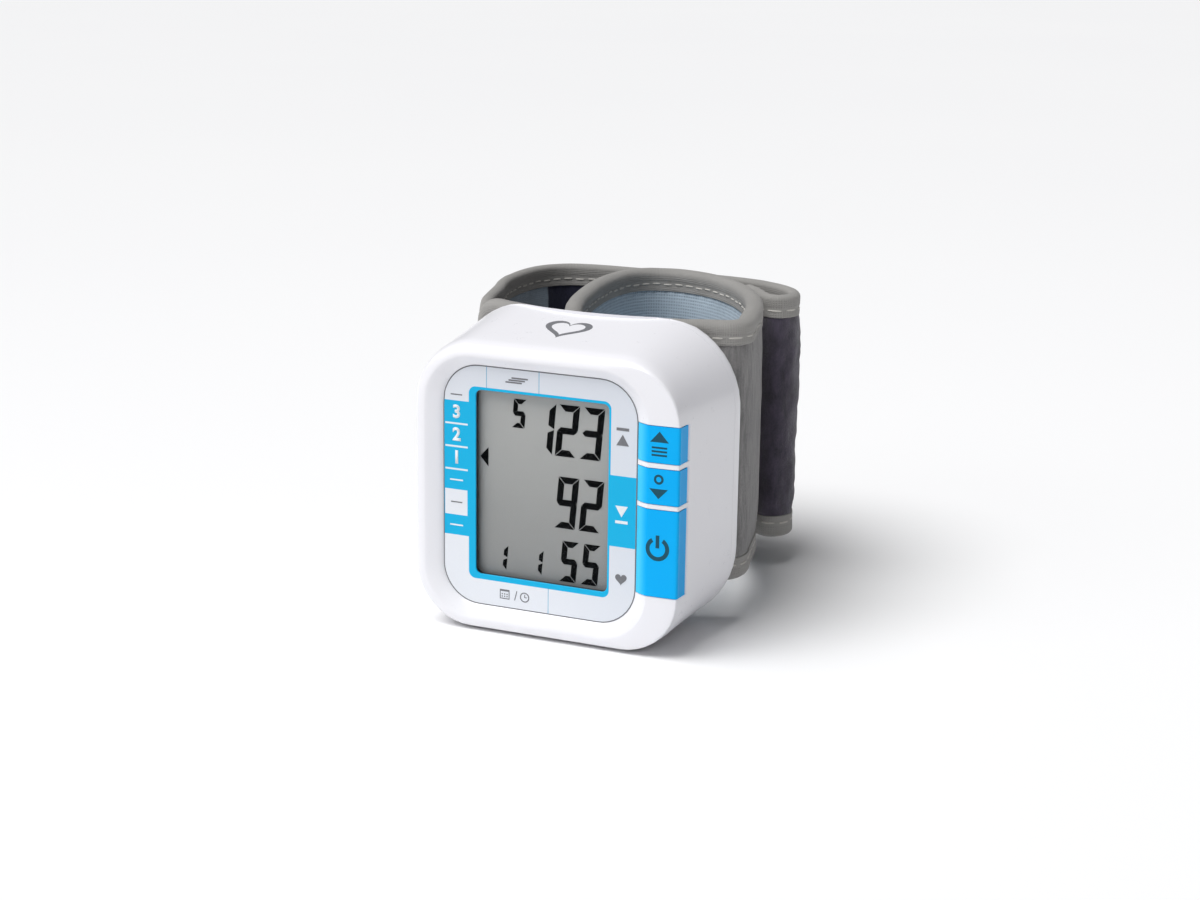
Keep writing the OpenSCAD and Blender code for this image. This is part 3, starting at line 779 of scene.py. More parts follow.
def front_case_shape():
    """Front shell: window hole, panel bed, rim and side walls, 1.8 mm thick.

    The outer rows run from the window outwards and back; each has an inner row, flat behind the
    bed and parallel to the side walls. Cells left out make the key slots and the door opening.
    """
    outer = np.concatenate([fitted([window_row(BED_Y, 0.3), panel_row(BED_Y, 0)]), fitted(rim_rows),
                            wrapped(side_y, 0, PARTING_Y)])
    first = fitted([panel_row(CAVITY_Y, 0)])[0]
    final = wrapped(np.array([CAVITY_Y, CAVITY_Y]), WALL, 1)[0]
    share = np.linspace(0, 1, len(rim_rows) + 1)[:-1, None, None]
    flat = first * (1 - share) + final * share
    inner = np.concatenate([fitted([window_row(CAVITY_Y, 0.3), panel_row(CAVITY_Y, -0.5)]), flat,
                            wrapped(side_y, WALL, PARTING_Y)])
    keep = np.ones((len(outer) - 1, COLUMNS), bool)
    middle_z = (RIGHT_LINES[:-1] + RIGHT_LINES[1:]) / 2
    slot_rows = slice(2, 1 + len(rim_rows))
    for low, high in KEY_SPANS.values():
        keep[slot_rows, :len(middle_z)] &= ~((middle_z > low) & (middle_z < high))
    side_start = 2 + len(rim_rows)
    in_door = (side_y[:-1] >= DOOR_Y[0] - 0.01) & (side_y[1:] <= DOOR_Y[1] + 0.01)
    door_rows = side_start + np.flatnonzero(in_door)
    left_start = len(RIGHT_LINES) + 2 * ARC + FLAT
    keep[door_rows, left_start:left_start + len(LEFT_LINES) - 1] = False
    return shell(outer, inner, keep, closed=True)


front_shell = put("front_shell", *front_case_shape(), sharp=40)
soften(front_shell, 0.18, 2, 50)
dress(front_shell, CASE, "front_case")


def back_case_shape():
    """Back shell: a short rounded wall behind the parting line, closed by the saddle hollow.

    The back rows shrink towards the middle and lie at the back plane or on the saddle's
    cylinder, whichever is nearer the front.
    """
    lip = [(PARTING_Y + 0.05, 0), (PARTING_Y + 0.5, 0), (PARTING_Y + 1.8, 0), (PARTING_Y + 2.6, 0.12),
           (PARTING_Y + 3.2, 0.4), (PARTING_Y + 3.7, 0.85), (BACK_Y, 1.4)]
    lip_rows = [section(y, d, d, 0, d, d * 0.8) for y, d in lip]
    rings = fitted(lip_rows)
    middle = np.array([0.0, BACK_Y, BACK_TOP / 2])
    shares = np.linspace(1, 0.04, 24)[1:, None, None]
    face = middle + (rings[-1] - middle) * shares
    outer = np.concatenate([rings, face])
    left_rows = np.arange(len(outer))[::-1, None]
    outer[..., 1] = np.minimum(outer[..., 1], hollow_at(outer[..., 0]) - 0.004 * left_rows)
    thin = fitted([section(y, d + WALL, d + WALL, WALL, d + WALL, d * 0.8 + WALL) for y, d in lip])
    inner_face = middle + (thin[-1] - middle) * shares
    inner = np.concatenate([thin, inner_face])
    inner[..., 1] = np.minimum(inner[..., 1], hollow_at(inner[..., 0])) - np.linspace(0, WALL, len(lip))[
        np.minimum(np.arange(len(inner)), len(lip) - 1)][:, None] - 0.004 * left_rows
    return shell(outer, inner, closed=True, cap=True)


back_shell = put("back_shell", *back_case_shape(), sharp=40)


def bored(piece, holes):
    """Cuts round holes along Y; each is x, z, radius, front depth and back depth."""
    cutters = []
    for x, z, r, y0, y1 in holes:
        turn = np.linspace(0, 2 * np.pi, 33)[:-1]
        points, faces = prisms([np.column_stack([x + r * np.cos(turn), z + r * np.sin(turn)])], y0, y1)
        cutters.append(put("cutter", points, faces, body=None))
    for cutter in cutters:
        cut = piece.modifiers.new("hole", "BOOLEAN")
        cut.operation = "DIFFERENCE"
        cut.object = cutter
        cut.solver = "EXACT"
    graph = bpy.context.evaluated_depsgraph_get()
    done = bpy.data.meshes.new_from_object(piece.evaluated_get(graph))
    piece.modifiers.clear()
    piece.data = done
    for cutter in cutters:
        bpy.data.objects.remove(cutter)
    done.polygons.foreach_set("use_smooth", np.ones(len(done.polygons), bool))
    done.set_sharp_from_angle(angle=math.radians(40))
    return piece


SCREW_AT = [(-15, 8), (15, 8), (-12, 68.5), (21.5, 67)]
NOZZLE_Z = 58.0
bored(back_shell, [(x, z, 2.3, hollow_at(x) - 2.6, 20) for x, z in SCREW_AT] + [(0, NOZZLE_Z, 2.15, 4, 20)])
dress(back_shell, CASE, "back_case")


# ---------------------------------------------------------------------------
# Keys: a slice of the rim's profile carried along Z, a hair proud of the case
rim_profile = np.column_stack([rim_rows[:, 2], rim_rows[:, 0]])


def offset_line(line, distance):
    """A copy of a polyline in the XY plane moved sideways; positive is to its right."""
    step = np.gradient(line, axis=0)
    step /= np.linalg.norm(step, axis=1)[:, None]
    return line + distance * np.column_stack([step[:, 1], -step[:, 0]])


def key_shape(span):
    """Key cap: the rim's outline from the panel's edge to the side wrap, 1.4 mm thick, and its stem."""
    line = rim_profile[rim_profile[:, 1] <= WRAP_Y - KEY_TRAVEL - 0.25]
    line = line + np.array([[KEY_GAP, 0]]) * (line[:, :1] < 25)
    outer, inner = offset_line(line, 0.12), offset_line(line, -1.4)
    inner[:, 0] = np.minimum(inner[:, 0], FRONT_HALF - 1.6)
    inner[:, 1] = np.maximum.accumulate(np.maximum(inner[:, 1], RIDGE_Y + 1.3))
    levels = np.linspace(span[0] + KEY_GAP, span[1] - KEY_GAP, 8)
    skin = lambda xy: np.stack([np.column_stack([xy, np.full(len(xy), z)]) for z in levels])
    points, faces = shell(skin(outer), skin(inner))
    turn = np.linspace(0, 2 * np.pi, 25)[:-1]
    middle = sum(span) / 2
    ring = np.column_stack([28.5 + 2 * np.cos(turn), middle + 2 * np.sin(turn)])
    stem, stem_faces = prisms([ring], RIDGE_Y + 1.2, CAVITY_Y + 1.25)
    faces += [f + len(points) for f in stem_faces]
    return np.concatenate([points, stem]), faces


def key_depth(x):
    """How far the key's face lies behind the ridge at x."""
    front = offset_line(rim_profile, 0.12)
    front = front[:np.argmax(front[:, 0])]
    return np.interp(x, front[:, 0], front[:, 1]) - RIDGE_Y


for key, span in KEY_SPANS.items():
    cap = put(key + "_key_cap", *key_shape(span), body=key + "_key", sharp=35)
    soften(cap, 0.3, 3, 40)
    dress(cap, KEYS, key + "_button")


# Battery door: a patch of the left wall with finger ribs
def door_shape():
    """Battery door: the left wall's own curve between its gaps, 1.5 mm thick."""
    y_rows = np.linspace(DOOR_LOW[1], DOOR_HIGH[1], 14)
    heights = np.linspace(DOOR_LOW[2], DOOR_HIGH[2], 24)

    def patch(inset):
        y, z = np.meshgrid(y_rows, heights, indexing="ij")
        r, top = corner_at(y) - inset, top_at(y) - inset
        d = np.maximum(np.maximum(inset + r - z, z - top + r), 0)
        x = -half_at(y) + inset + r - np.sqrt(np.maximum(r ** 2 - d ** 2, 0))
        return np.stack([x, y, z], -1)

    return shell(patch(0.0), patch(WALL - 0.3))


def door_ribs():
    """Finger ribs: four long rounded bars standing 0.35 mm off the door."""
    points, faces, base = [], [], 0
    turn = np.linspace(0, 2 * np.pi, 17)[:-1]
    for y in np.arange(-2, 5, 2.0) + 0.35:
        for z, small in ((45.9, 0.4), (46.4, 1), (53.6, 1), (54.1, 0.4)):
            points.append(np.column_stack([-half_at(y) - 0.05 + 0.4 * small * np.cos(turn),
                                           y + 0.4 * small * np.sin(turn), np.full(16, z)]))
        faces += tube_faces(4, 16, base)
        base += 64
    return np.concatenate(points), faces


door = soften(put("battery_door_cover", *door_shape(), body="door", sharp=40), 0.25, 2, 40)
dress(door, CASE, "battery_door")
dress(put("battery_door_ribs", *door_ribs(), body="door"), CASE)


# ---------------------------------------------------------------------------
# Panel film, clear window and display
film_rows = [window_row(PANEL_Y, 0.05), window_row(PANEL_Y, 1.2),
             panel_row(PANEL_Y, -0.6), panel_row(PANEL_Y, -0.05)]
film_back = [[row[0] + 0.48] + row[1:] for row in film_rows]
film = put("panel_film", *shell(fitted(film_rows), fitted(film_back), closed=True), sharp=40)
soften(film, 0.08, 2, 50)
dress(film, PANEL, "panel_overlay")

pane = put("display_window_pane", *prisms([round_rect(WINDOW_LOW[0], WINDOW_HIGH[0], WINDOW_LOW[2],
                                                      WINDOW_HIGH[2], 1.4)], WINDOW_LOW[1], WINDOW_HIGH[1]))
soften(pane, 0.1, 2, 50)
dress(pane, CLEAR, "display_window")


def mark(name, outlines, front, thick, finish, body="case"):
    """A printed mark as a thin plate, a few hundredths of a millimetre proud of what it is on."""
    piece = put(name, *prisms(outlines, front, front + thick), body=body, sharp=30)
    return dress(piece, finish)


def figure_mark(figure, height, x, z, front):
    """A plain figure from the built-in font, made heavier, as a thin mesh centred on x, z."""
    name = "level_" + figure
    curve = bpy.data.curves.new(name, "FONT")
    curve.body = figure
    curve.align_x = curve.align_y = "CENTER"
    curve.size = height / 0.7
    curve.extrude = 0.03
    curve.offset = 0.05 * height
    curve.resolution_u = 3
    source = bpy.data.objects.new(name, curve)
    bpy.context.scene.collection.objects.link(source)
    mesh = bpy.data.meshes.new_from_object(source.evaluated_get(bpy.context.evaluated_depsgraph_get()))
    co = np.empty(len(mesh.vertices) * 3)
    mesh.vertices.foreach_get("co", co)
    a, b, depth = co.reshape(-1, 3).T
    faces = [np.array([list(p.vertices)]) for p in mesh.polygons]
    bpy.data.objects.remove(source)
    bpy.data.curves.remove(curve)
    bpy.data.meshes.remove(mesh)
    points = np.column_stack([x + a, front - depth, z + b])
    piece = put(name, points, faces, sharp=30, outward=False)
    work = bmesh.new()
    work.from_mesh(piece.data)
    bmesh.ops.remove_doubles(work, verts=work.verts, dist=1e-7)
    bmesh.ops.recalc_face_normals(work, faces=work.faces)
    work.to_mesh(piece.data)
    work.free()
    return dress(piece, PALE_INK)


SEGMENTS = {"1": "bc", "2": "abged", "3": "abgcd", "5": "afgcd", "9": "abcdfg"}


def digit(figure, x, z, width, height, thick):
    """Outlines of a seven-segment figure: bars with slanted ends, leaning to the right as they rise."""
    gap, half, t, lean = 0.12, height / 2, thick, 0.09
    bars = {
        "a": [(gap, height), (width - gap, height), (width - gap - t, height - t), (gap + t, height - t)],
        "d": [(gap, 0), (gap + t, t), (width - gap - t, t), (width - gap, 0)],
        "g": [(gap, half), (gap + t / 2, half + t / 2), (width - gap - t / 2, half + t / 2),
              (width - gap, half), (width - gap - t / 2, half - t / 2), (gap + t / 2, half - t / 2)],
        "f": [(0, height - gap), (t, height - gap - t), (t, half + gap + t / 2), (0, half + gap)],
        "e": [(0, gap), (0, half - gap), (t, half - gap - t / 2), (t, gap + t)],
        "b": [(width, height - gap), (width, half + gap), (width - t, half + gap + t / 2),
              (width - t, height - gap - t)],
        "c": [(width, gap), (width - t, gap + t), (width - t, half - gap - t / 2), (width, half - gap)]}
    return [[(x + a + lean * b, z + b) for a, b in bars[name]] for name in SEGMENTS[figure]]


INK_Y = GLASS_Y - 0.05
reading = (digit("5", -9.9, 51.6, 3.4, 7.1, 1.2)
           + digit("1", -4.6, 45.9, 5.4, 12.7, 1.6) + digit("2", 1.6, 45.9, 5.4, 12.7, 1.6)
           + digit("3", 8.1, 45.9, 5.4, 12.7, 1.6)
           + digit("9", 1.6, 28.1, 5.4, 12.8, 1.6) + digit("2", 8.1, 28.1, 5.4, 12.8, 1.6)
           + digit("1", -14.3, 15.5, 3.1, 6.3, 1.05) + digit("1", -4.8, 15.5, 3.1, 6.3, 1.05)
           + digit("5", 3.0, 14.8, 4.4, 10.2, 1.5) + digit("5", 8.7, 14.8, 4.4, 10.2, 1.5)
           + [[(-18.3, 43.5), (-16.1, 41.1), (-16.1, 45.9)]])
mark("display_figures", reading, INK_Y, 0.04, DIGIT)

PRINT_Y = PANEL_Y - 0.02
for level, figure in ((54.2, "3"), (48.55, "2"), (42.85, "1")):
    figure_mark(figure, 3.1, -23.7, level, PRINT_Y)


def heart(x, z, size):
    """Outline of a heart `size` wide.

    Across it is 16 sin^3 t, and upward 13 cos t - 5 cos 2t - 2 cos 3t - cos 4t + 2.5, scaled.
    """
    t = np.linspace(0, 2 * np.pi, 41)[:-1]
    a = 16 * np.sin(t) ** 3
    b = 13 * np.cos(t) - 5 * np.cos(2 * t) - 2 * np.cos(3 * t) - np.cos(4 * t) + 2.5
    return np.column_stack([x + a * size / 32, z + b * size / 32])


def ring_mark(x, z, inner, outer, start=0.0, stop=2 * np.pi - 0.01):
    """Outline of a ring, or of a part of it between two angles in radians."""
    a = np.linspace(start, stop, 28)
    arc = lambda r, t: np.column_stack([x + r * np.cos(t), z + r * np.sin(t)])
    return np.concatenate([arc(outer, a), arc(inner, a[::-1])])


def bar(x0, x1, z0, z1):
    """Outline of an upright rectangle."""
    return [(x0, z0), (x1, z0), (x1, z1), (x0, z1)]


def printed(name, outlines, finish=INK):
    """A mark printed on the panel."""
    return mark(name, outlines, PRINT_Y - 0.03, 0.05, finish)


SIDE_LEFT, SIDE_X, SIDE_RIGHT = 18.5, 20.1, 21.7
printed("pressure_high_symbol", [[(SIDE_LEFT, 50.9), (SIDE_RIGHT, 50.9), (SIDE_X, 53.6)],
                                 bar(SIDE_LEFT, SIDE_RIGHT, 54.5, 55.2)])
printed("pressure_low_symbol", [[(SIDE_LEFT, 36.2), (SIDE_X, 33.5), (SIDE_RIGHT, 36.2)],
                                bar(SIDE_LEFT, SIDE_RIGHT, 31.9, 32.6)], PALE_INK)
printed("pulse_heart", [heart(20.2, 18.0, 3.0)])
printed("memory_symbol", [round_rect(-10.6 + 0.8 * k, -6.2 + 0.8 * k, 62.9 + 0.55 * k,
                                     63.25 + 0.55 * k, 0.15, 3) for k in range(3)])
clock = [ring_mark(-5.2, 9.9, 1.0, 1.25), bar(-5.28, -5.08, 9.85, 10.6), bar(-5.2, -4.6, 9.8, 9.98)]
calendar = [bar(-11.9, -9.3, 10.75, 11.2), bar(-11.9, -11.7, 8.8, 10.75), bar(-9.5, -9.3, 8.8, 10.75),
            bar(-11.7, -9.5, 8.8, 9.0)]
calendar += [bar(-11.4 + 0.65 * i, -11.1 + 0.65 * i, 9.3 + 0.6 * k, 9.6 + 0.6 * k)
             for i in range(3) for k in range(2)]
slash = [(-8.0, 8.8), (-7.8, 8.8), (-7.2, 11.2), (-7.4, 11.2)]
printed("date_and_time_symbols", calendar + clock + [slash])
printed("zone_marks_pale", [bar(-25.5, -22.0, z - 0.18, z + 0.18) for z in (37.3, 25.9)], PALE_INK)
printed("zone_marks_grey", [bar(-25.3, -22.2, z - 0.14, z + 0.14) for z in (31.7, 58.6)])


def panel_edge():
    """Thin dark outline round the printed panel: a band between two rounded rectangles."""
    lines = [fitted([panel_row(PANEL_Y - 0.03, grow)])[0] for grow in (-0.28, -0.06)]
    backs = [line + [0, 0.04, 0] for line in lines]
    return shell(np.stack(lines), np.stack(backs), closed=True)


dress(put("panel_outline", *panel_edge()), INK)


def key_print(name, outlines, body):
    """A mark printed on a key, bent to the key's face."""
    return bend_to(mark(name, outlines, RIDGE_Y - 0.03, 0.05, KEY_INK, body), key_depth)


middle_of = {key: sum(span) / 2 for key, span in KEY_SPANS.items()}
KEY_X = 30.2
ARROW_HALF = 2.3
up, down = middle_of["memory"] + 1.7, middle_of["set"] - 1.0
memory_z, set_z, power_z = middle_of["memory"] - 1.6, middle_of["set"] + 1.8, middle_of["power"] + 1.2
key_print("key_arrow_up", [[(KEY_X - ARROW_HALF, up - 1.1), (KEY_X + ARROW_HALF, up - 1.1),
                            (KEY_X, up + 1.5)]], "memory_key")
key_print("key_memory_symbol", [bar(KEY_X - 1.9, KEY_X + 1.9, memory_z + k - 0.22, memory_z + k + 0.22)
                                for k in (-0.9, 0.0, 0.9)], "memory_key")
key_print("key_set_symbol", [ring_mark(KEY_X, set_z, 0.65, 1.2)], "set_key")
key_print("key_arrow_down", [[(KEY_X - ARROW_HALF, down + 0.5), (KEY_X, down - 1.9),
                              (KEY_X + ARROW_HALF, down + 0.5)]], "set_key")
key_print("key_power_symbol", [ring_mark(KEY_X, power_z, 1.95, 2.95, math.radians(122), math.radians(418)),
                               bar(KEY_X - 0.45, KEY_X + 0.45, power_z + 0.2, power_z + 3.3)], "power_key")


def top_heart():
    """Plain heart outline on the top of the case: a band between two hearts, laid on the sloping top."""
    outer, inner = heart(-1.2, 0, 12.0), heart(-1.2, 0, 8.6)
    inner[:, 1] += 0.35
    lay = lambda xy, lift: np.column_stack([xy[:, 0], xy[:, 1] - 1.0, top_at(xy[:, 1] - 1.0) + lift])
    top = np.stack([lay(outer, 0.03), lay(inner, 0.03)])
    under = np.stack([lay(outer, -0.05), lay(inner, -0.05)])
    return shell(top, under, closed=True)


dress(put("top_heart_mark", *top_heart()), INK)


# ---------------------------------------------------------------------------
# Cuff and strap
class Route:
    """A centre line seen from above: a Catmull-Rom curve through given points, known by arc length."""

    def __init__(self, points):
        p = np.array(points, float)
        line = rounded_rows(p, 24)
        step = np.linalg.norm(np.diff(line, axis=0), axis=1)
        self.s = np.concatenate([[0], np.cumsum(step)])
        self.line = line
        self.length = self.s[-1]

    def at(self, s):
        """Points of the line at arc lengths s."""
        return np.stack([np.interp(s, self.s, self.line[:, k]) for k in range(2)], -1)

    def left(self, s):
        """Unit normals to the left of travel: the outside of the cuff."""
        d = self.at(np.clip(s + 0.6, 0, self.length)) - self.at(np.clip(s - 0.6, 0, self.length))
        d /= np.linalg.norm(d, axis=-1, keepdims=True)
        return np.stack([-d[..., 1], d[..., 0]], -1)

    def place(self, s, n, z):
        """Points at arc length s, n to the left of the line, at height z."""
        xy = self.at(s) + self.left(s) * n[..., None]
        return np.concatenate([xy, z[..., None]], -1)


cuff = Route([[-9.4, 20.5], [-13.8, 34], [-17.1, 48.5], [-18.8, 63], [-17.4, 74], [-12.2, 80], [-3.6, 81.4],
              [7, 77.6], [16.6, 69.4], [24.3, 58.5], [29.8, 46], [33.2, 33], [35, 25.2], [33.2, 20.8],
              [28, 18.9], [15, 14.4], [0, 12.7], [-15, 14.4], [-28, 18.9], [-32.9, 21.1], [-35.2, 23.4]])
strap = Route([[-36.6, 25.5], [-39.3, 34], [-42.8, 46], [-46, 56], [-47.4, 66], [-46.6, 77], [-42, 84.6],
               [-33, 87.8], [-16, 88.6], [0, 88.6], [12, 87.6], [21, 84.8], [28, 79.2], [30.8, 72.6],
               [28.4, 68.2], [24.3, 69.4], [18.6, 76.6], [10.5, 83]])
CUFF_Z = (box_mm("cuff_bottom_binding")[0][2], box_mm("cuff_top_binding")[1][2])
STRAP_Z = (box_mm("strap_bottom_binding")[0][2], box_mm("strap_top_binding")[1][2])
# Width of the tape, how far in its stitches run, and the radius of a band's corners
TAPE, STITCH_DOWN, CORNER = 6.0, 4.1, 7.5
STITCH_PITCH = 3.7
# How far in from its edge, under the tape, a cloth skin ends
SKIN_IN = 1.6
GRID = 0.75


def from_edge(S, Z, length, span):
    """Distance in from a band's edge, the band laid flat being a rectangle with round corners.

    With q = |p - middle| - (half size - CORNER), the distance is
    CORNER - |max(q, 0)| - min(max(q_s, q_z), 0).
    """
    qs = np.abs(S - length / 2) - (length / 2 - CORNER)
    qz = np.abs(Z - (span[0] + span[1]) / 2) - ((span[1] - span[0]) / 2 - CORNER)
    return CORNER - np.hypot(np.maximum(qs, 0), np.maximum(qz, 0)) - np.minimum(np.maximum(qs, qz), 0)


def crown(inside):
    """0 under the tapes, rising to 1 over 7 mm: sin(share of 90 degrees) to the power 0.8."""
    return np.sin(np.clip((inside - TAPE + 0.6) / 7.0, 0, 1) * np.pi / 2) ** 0.8


def rounded_in(S, Z, length, span):
    """Heights drawn in towards the middle near both ends so that a grid follows the round corners."""
    d = np.clip(CORNER - np.minimum(S, length - S), 0, CORNER)
    drop = CORNER - np.sqrt(CORNER ** 2 - d ** 2)
    middle, half = (span[0] + span[1]) / 2, (span[1] - span[0]) / 2
    return middle + (Z - middle) * (half - drop) / half


def puffed(route, side, span, thin, full, seed, wanted):
    """How far a padded skin moves when air fills it, from a cloth simulation on a coarse grid.

    The coarse pad is closed: a skin on each side, with the middle skin and the edges pinned. The
    skin starts from its plain crown with slight unevenness, air pressure pushes it out, and the
    movement along its normal is kept between -0.3 mm and `wanted`. The unevenness is added and the
    sum is returned as a function that reads the grid at any arc length and height.
    """
    s = np.linspace(0.4, route.length - 0.4, int(route.length / 2.6))
    z = np.linspace(span[0] + 0.8, span[1] - 0.8, 28)
    S, Z = np.meshgrid(s, z)
    uneven = 0.25 * smooth_noise(S, Z, 11.0, 16.0, seed)
    free = crown(from_edge(S, Z, route.length, span))
    N = side * (thin + (full - thin + uneven) * free)
    outer, inner = route.place(S, N, Z), route.place(S, 0 * N, Z)
    points, faces = shell(outer, inner)
    pad = put("air pad", points, faces, body=None)
    count = outer.shape[0] * outer.shape[1]
    edge = np.zeros(outer.shape[:2], bool)
    edge[[0, 1, -2, -1], :] = True
    edge[:, [0, -1]] = True
    pinned = np.concatenate([np.flatnonzero(edge.ravel()), np.arange(count, 2 * count)])
    group = pad.vertex_groups.new(name="pinned")
    group.add(pinned.tolist(), 1.0, "REPLACE")
    cloth = pad.modifiers.new("cloth", "CLOTH")
    rules = cloth.settings
    rules.quality = 5
    rules.mass = 0.2
    rules.tension_stiffness = rules.compression_stiffness = 12
    rules.shear_stiffness = 5
    rules.bending_stiffness = 0.4
    rules.vertex_group_mass = "pinned"
    rules.use_pressure = True
    rules.uniform_pressure_force = 4.0
    rules.effector_weights.gravity = 0
    cloth.collision_settings.use_self_collision = False
    cloth.point_cache.frame_start, cloth.point_cache.frame_end = 1, 20
    for frame_number in range(1, 21):
        bpy.context.scene.frame_set(frame_number)
    moved = pad.evaluated_get(bpy.context.evaluated_depsgraph_get()).data
    co = np.empty(len(moved.vertices) * 3)
    moved.vertices.foreach_get("co", co)
    travel = (co.reshape(-1, 3)[:count] / MM - outer.reshape(-1, 3)).reshape(outer.shape)
    normal = np.concatenate([route.left(S) * side, np.zeros(S.shape + (1,))], -1)
    push = np.clip((travel * normal).sum(-1), -0.3, wanted) + uneven
    bpy.data.objects.remove(pad)
    bpy.context.scene.frame_set(1)
    return lambda a, b: read_grid(push, (a - s[0]) / (s[1] - s[0]), (b - z[0]) / (z[1] - z[0]))


def read_grid(values, column, row):
    """Smooth reading of a grid of numbers between its points."""
    rows, columns = values.shape
    column, row = np.clip(column, 0, columns - 1.001), np.clip(row, 0, rows - 1.001)
    i, j = column.astype(int), row.astype(int)
    a, b = column - i, row - j
    a, b = a * a * (3 - 2 * a), b * b * (3 - 2 * b)
    near = values[j, i] * (1 - a) + values[j, i + 1] * a
    far = values[j + 1, i] * (1 - a) + values[j + 1, i + 1] * a
    return near * (1 - b) + far * b


def cloth_skin(route, side, span, thin, full, texture, push):
    """One side of a padded band as a closed piece: its crowned, textured skin and its flat middle."""
    s = np.linspace(SKIN_IN, route.length - SKIN_IN, int(route.length / GRID))
    z = np.linspace(span[0] + SKIN_IN, span[1] - SKIN_IN, int((span[1] - span[0]) / GRID))
    S, Z = np.meshgrid(s, z)
    Z = rounded_in(S, Z, route.length, span)
    inside = from_edge(S, Z, route.length, span)
    free = crown(inside)
    pucker = -0.10 * np.cos(2 * np.pi * S / STITCH_PITCH) * np.exp(-(inside - TAPE - 1) ** 2 / 3)
    depth = thin + free * (full - thin + push(S, Z) + texture(S, Z)) + pucker
    N = side * np.maximum(depth, 0.35)
    points, faces = shell(route.place(S, N, Z), route.place(S, 0 * N, Z))
    uv = np.stack([S, Z], -1).reshape(-1, 2)
    return points, faces, np.concatenate([uv, uv])


def pile_ribs(S, Z):
    """Brushed ribs of the cuff's outside: fine vertical ridges that wander and break up."""
    wander = 0.5 * smooth_noise(S, Z, 9.0, 14.0, 3)
    ridge = np.sin(2 * np.pi * (S + wander) / 2.1) * 0.08
    return ridge + 0.06 * smooth_noise(S, Z, 0.9, 3.5, 4) + 0.05 * smooth_noise(S, Z, 3.0, 6.0, 5)


def fleece_nap(S, Z):
    """Deep fleece of the strap: lumps drawn out along Z over slow swells."""
    return (0.32 * smooth_noise(S + 0.2 * Z, Z, 1.5, 4.5, 6) + 0.12 * smooth_noise(S, Z, 0.9, 1.8, 7)
            + 0.25 * smooth_noise(S, Z, 8.0, 15.0, 8))


def lining_waves(S, Z):
    """Lining cloth: slow shallow waves."""
    return 0.12 * smooth_noise(S, Z, 7.0, 12.0, 9) + 0.02 * smooth_noise(S, Z, 1.2, 1.2, 10)


CUFF_THIN, CUFF_FULL = 1.75, 2.25
STRAP_THIN, STRAP_FULL = 1.05, 1.35


def padded_piece(name, route, side, span, thin, full, texture, seed, wanted, node, finish, body):
    """One face of a band, puffed and textured, in place of a CAD node."""
    push = puffed(route, side, span, thin, full, seed, wanted)
    points, faces, uv = cloth_skin(route, side, span, thin, full, texture, push)
    piece = put(name, points, faces, body=body, sharp=60, uv=uv)
    return dress(piece, finish, node)


padded_piece("cuff_outer_pile", cuff, 1, CUFF_Z, CUFF_THIN, CUFF_FULL, pile_ribs, 21, 0.7,
             "cuff_outer_cloth", GREY_PILE, "case")
padded_piece("cuff_inner_weave", cuff, -1, CUFF_Z, CUFF_THIN, CUFF_FULL, lining_waves, 22, 0.9,
             "cuff_inner_cloth", BLUE_WEAVE, "case")
strap_outer = padded_piece("strap_outer_fleece", strap, 1, STRAP_Z, STRAP_THIN, STRAP_FULL + 0.5, fleece_nap,
                           23, 0.5, "strap_cloth", DARK_PILE, None)
strap_inner = padded_piece("strap_inner_lining", strap, -1, STRAP_Z, STRAP_THIN, STRAP_FULL, lining_waves,
                           24, 0.3, "strap_lining", LINING, None)


def tape_profile(half):
    """Rolled tape over a band's edge: up one face, over the edge and down the other.

    Returns the closed outline as (offset, distance in from the band's edge); it is pinched at the
    stitch line and thins to its turned edges.
    """
    r = half + 0.55
    turn = np.linspace(np.pi, 0, 11)
    over = [(r * np.cos(a), r * 0.8 - r * 0.8 * np.sin(a)) for a in turn]
    down = [(half + 0.5, STITCH_DOWN - 1.0), (half + 0.24, STITCH_DOWN), (half + 0.46, STITCH_DOWN + 0.8),
            (half + 0.42, TAPE - 0.15), (half + 0.2, TAPE)]
    flank = [(-a, b) for a, b in down[::-1]]
    inner = [(half - 0.1, TAPE), (half - 0.1, 2.2), (half * 0.5, 1.2), (-half * 0.5, 1.2),
             (-half + 0.1, 2.2), (-half + 0.1, TAPE)]
    return np.array(flank + over + down + inner)


def edge_stations(length, span, top):
    """Stations round the upper or lower half of a band's edge, from mid-height to mid-height.

    Each station is the middle of the corner circle (s, z) and the outward angle; the point at a
    distance a in from the edge is middle + (CORNER - a)(cos angle, sin angle).
    """
    z0, z1 = span[0] + CORNER, span[1] - CORNER
    middle = (z0 + z1) / 2
    corner = np.linspace(0, np.pi / 2, 13)[1:-1]
    rise = np.linspace(middle, z1, 24)
    run = np.linspace(CORNER, length - CORNER, int(length / 0.9))
    s = np.concatenate([0 * rise + CORNER, 0 * corner + CORNER, run, 0 * corner + length - CORNER,
                        0 * rise + length - CORNER])
    z = np.concatenate([rise, 0 * corner + z1, 0 * run + z1, 0 * corner + z1, rise[::-1]])
    angle = np.concatenate([0 * rise + np.pi, np.pi - corner, 0 * run + np.pi / 2, np.pi / 2 - corner,
                            0 * rise])
    if top:
        return s, z, angle
    return s, 2 * middle - z, -angle


def travelled(s, z):
    """Distance along a path from its start to each of its points."""
    return np.concatenate([[0], np.cumsum(np.hypot(np.diff(s), np.diff(z)))])


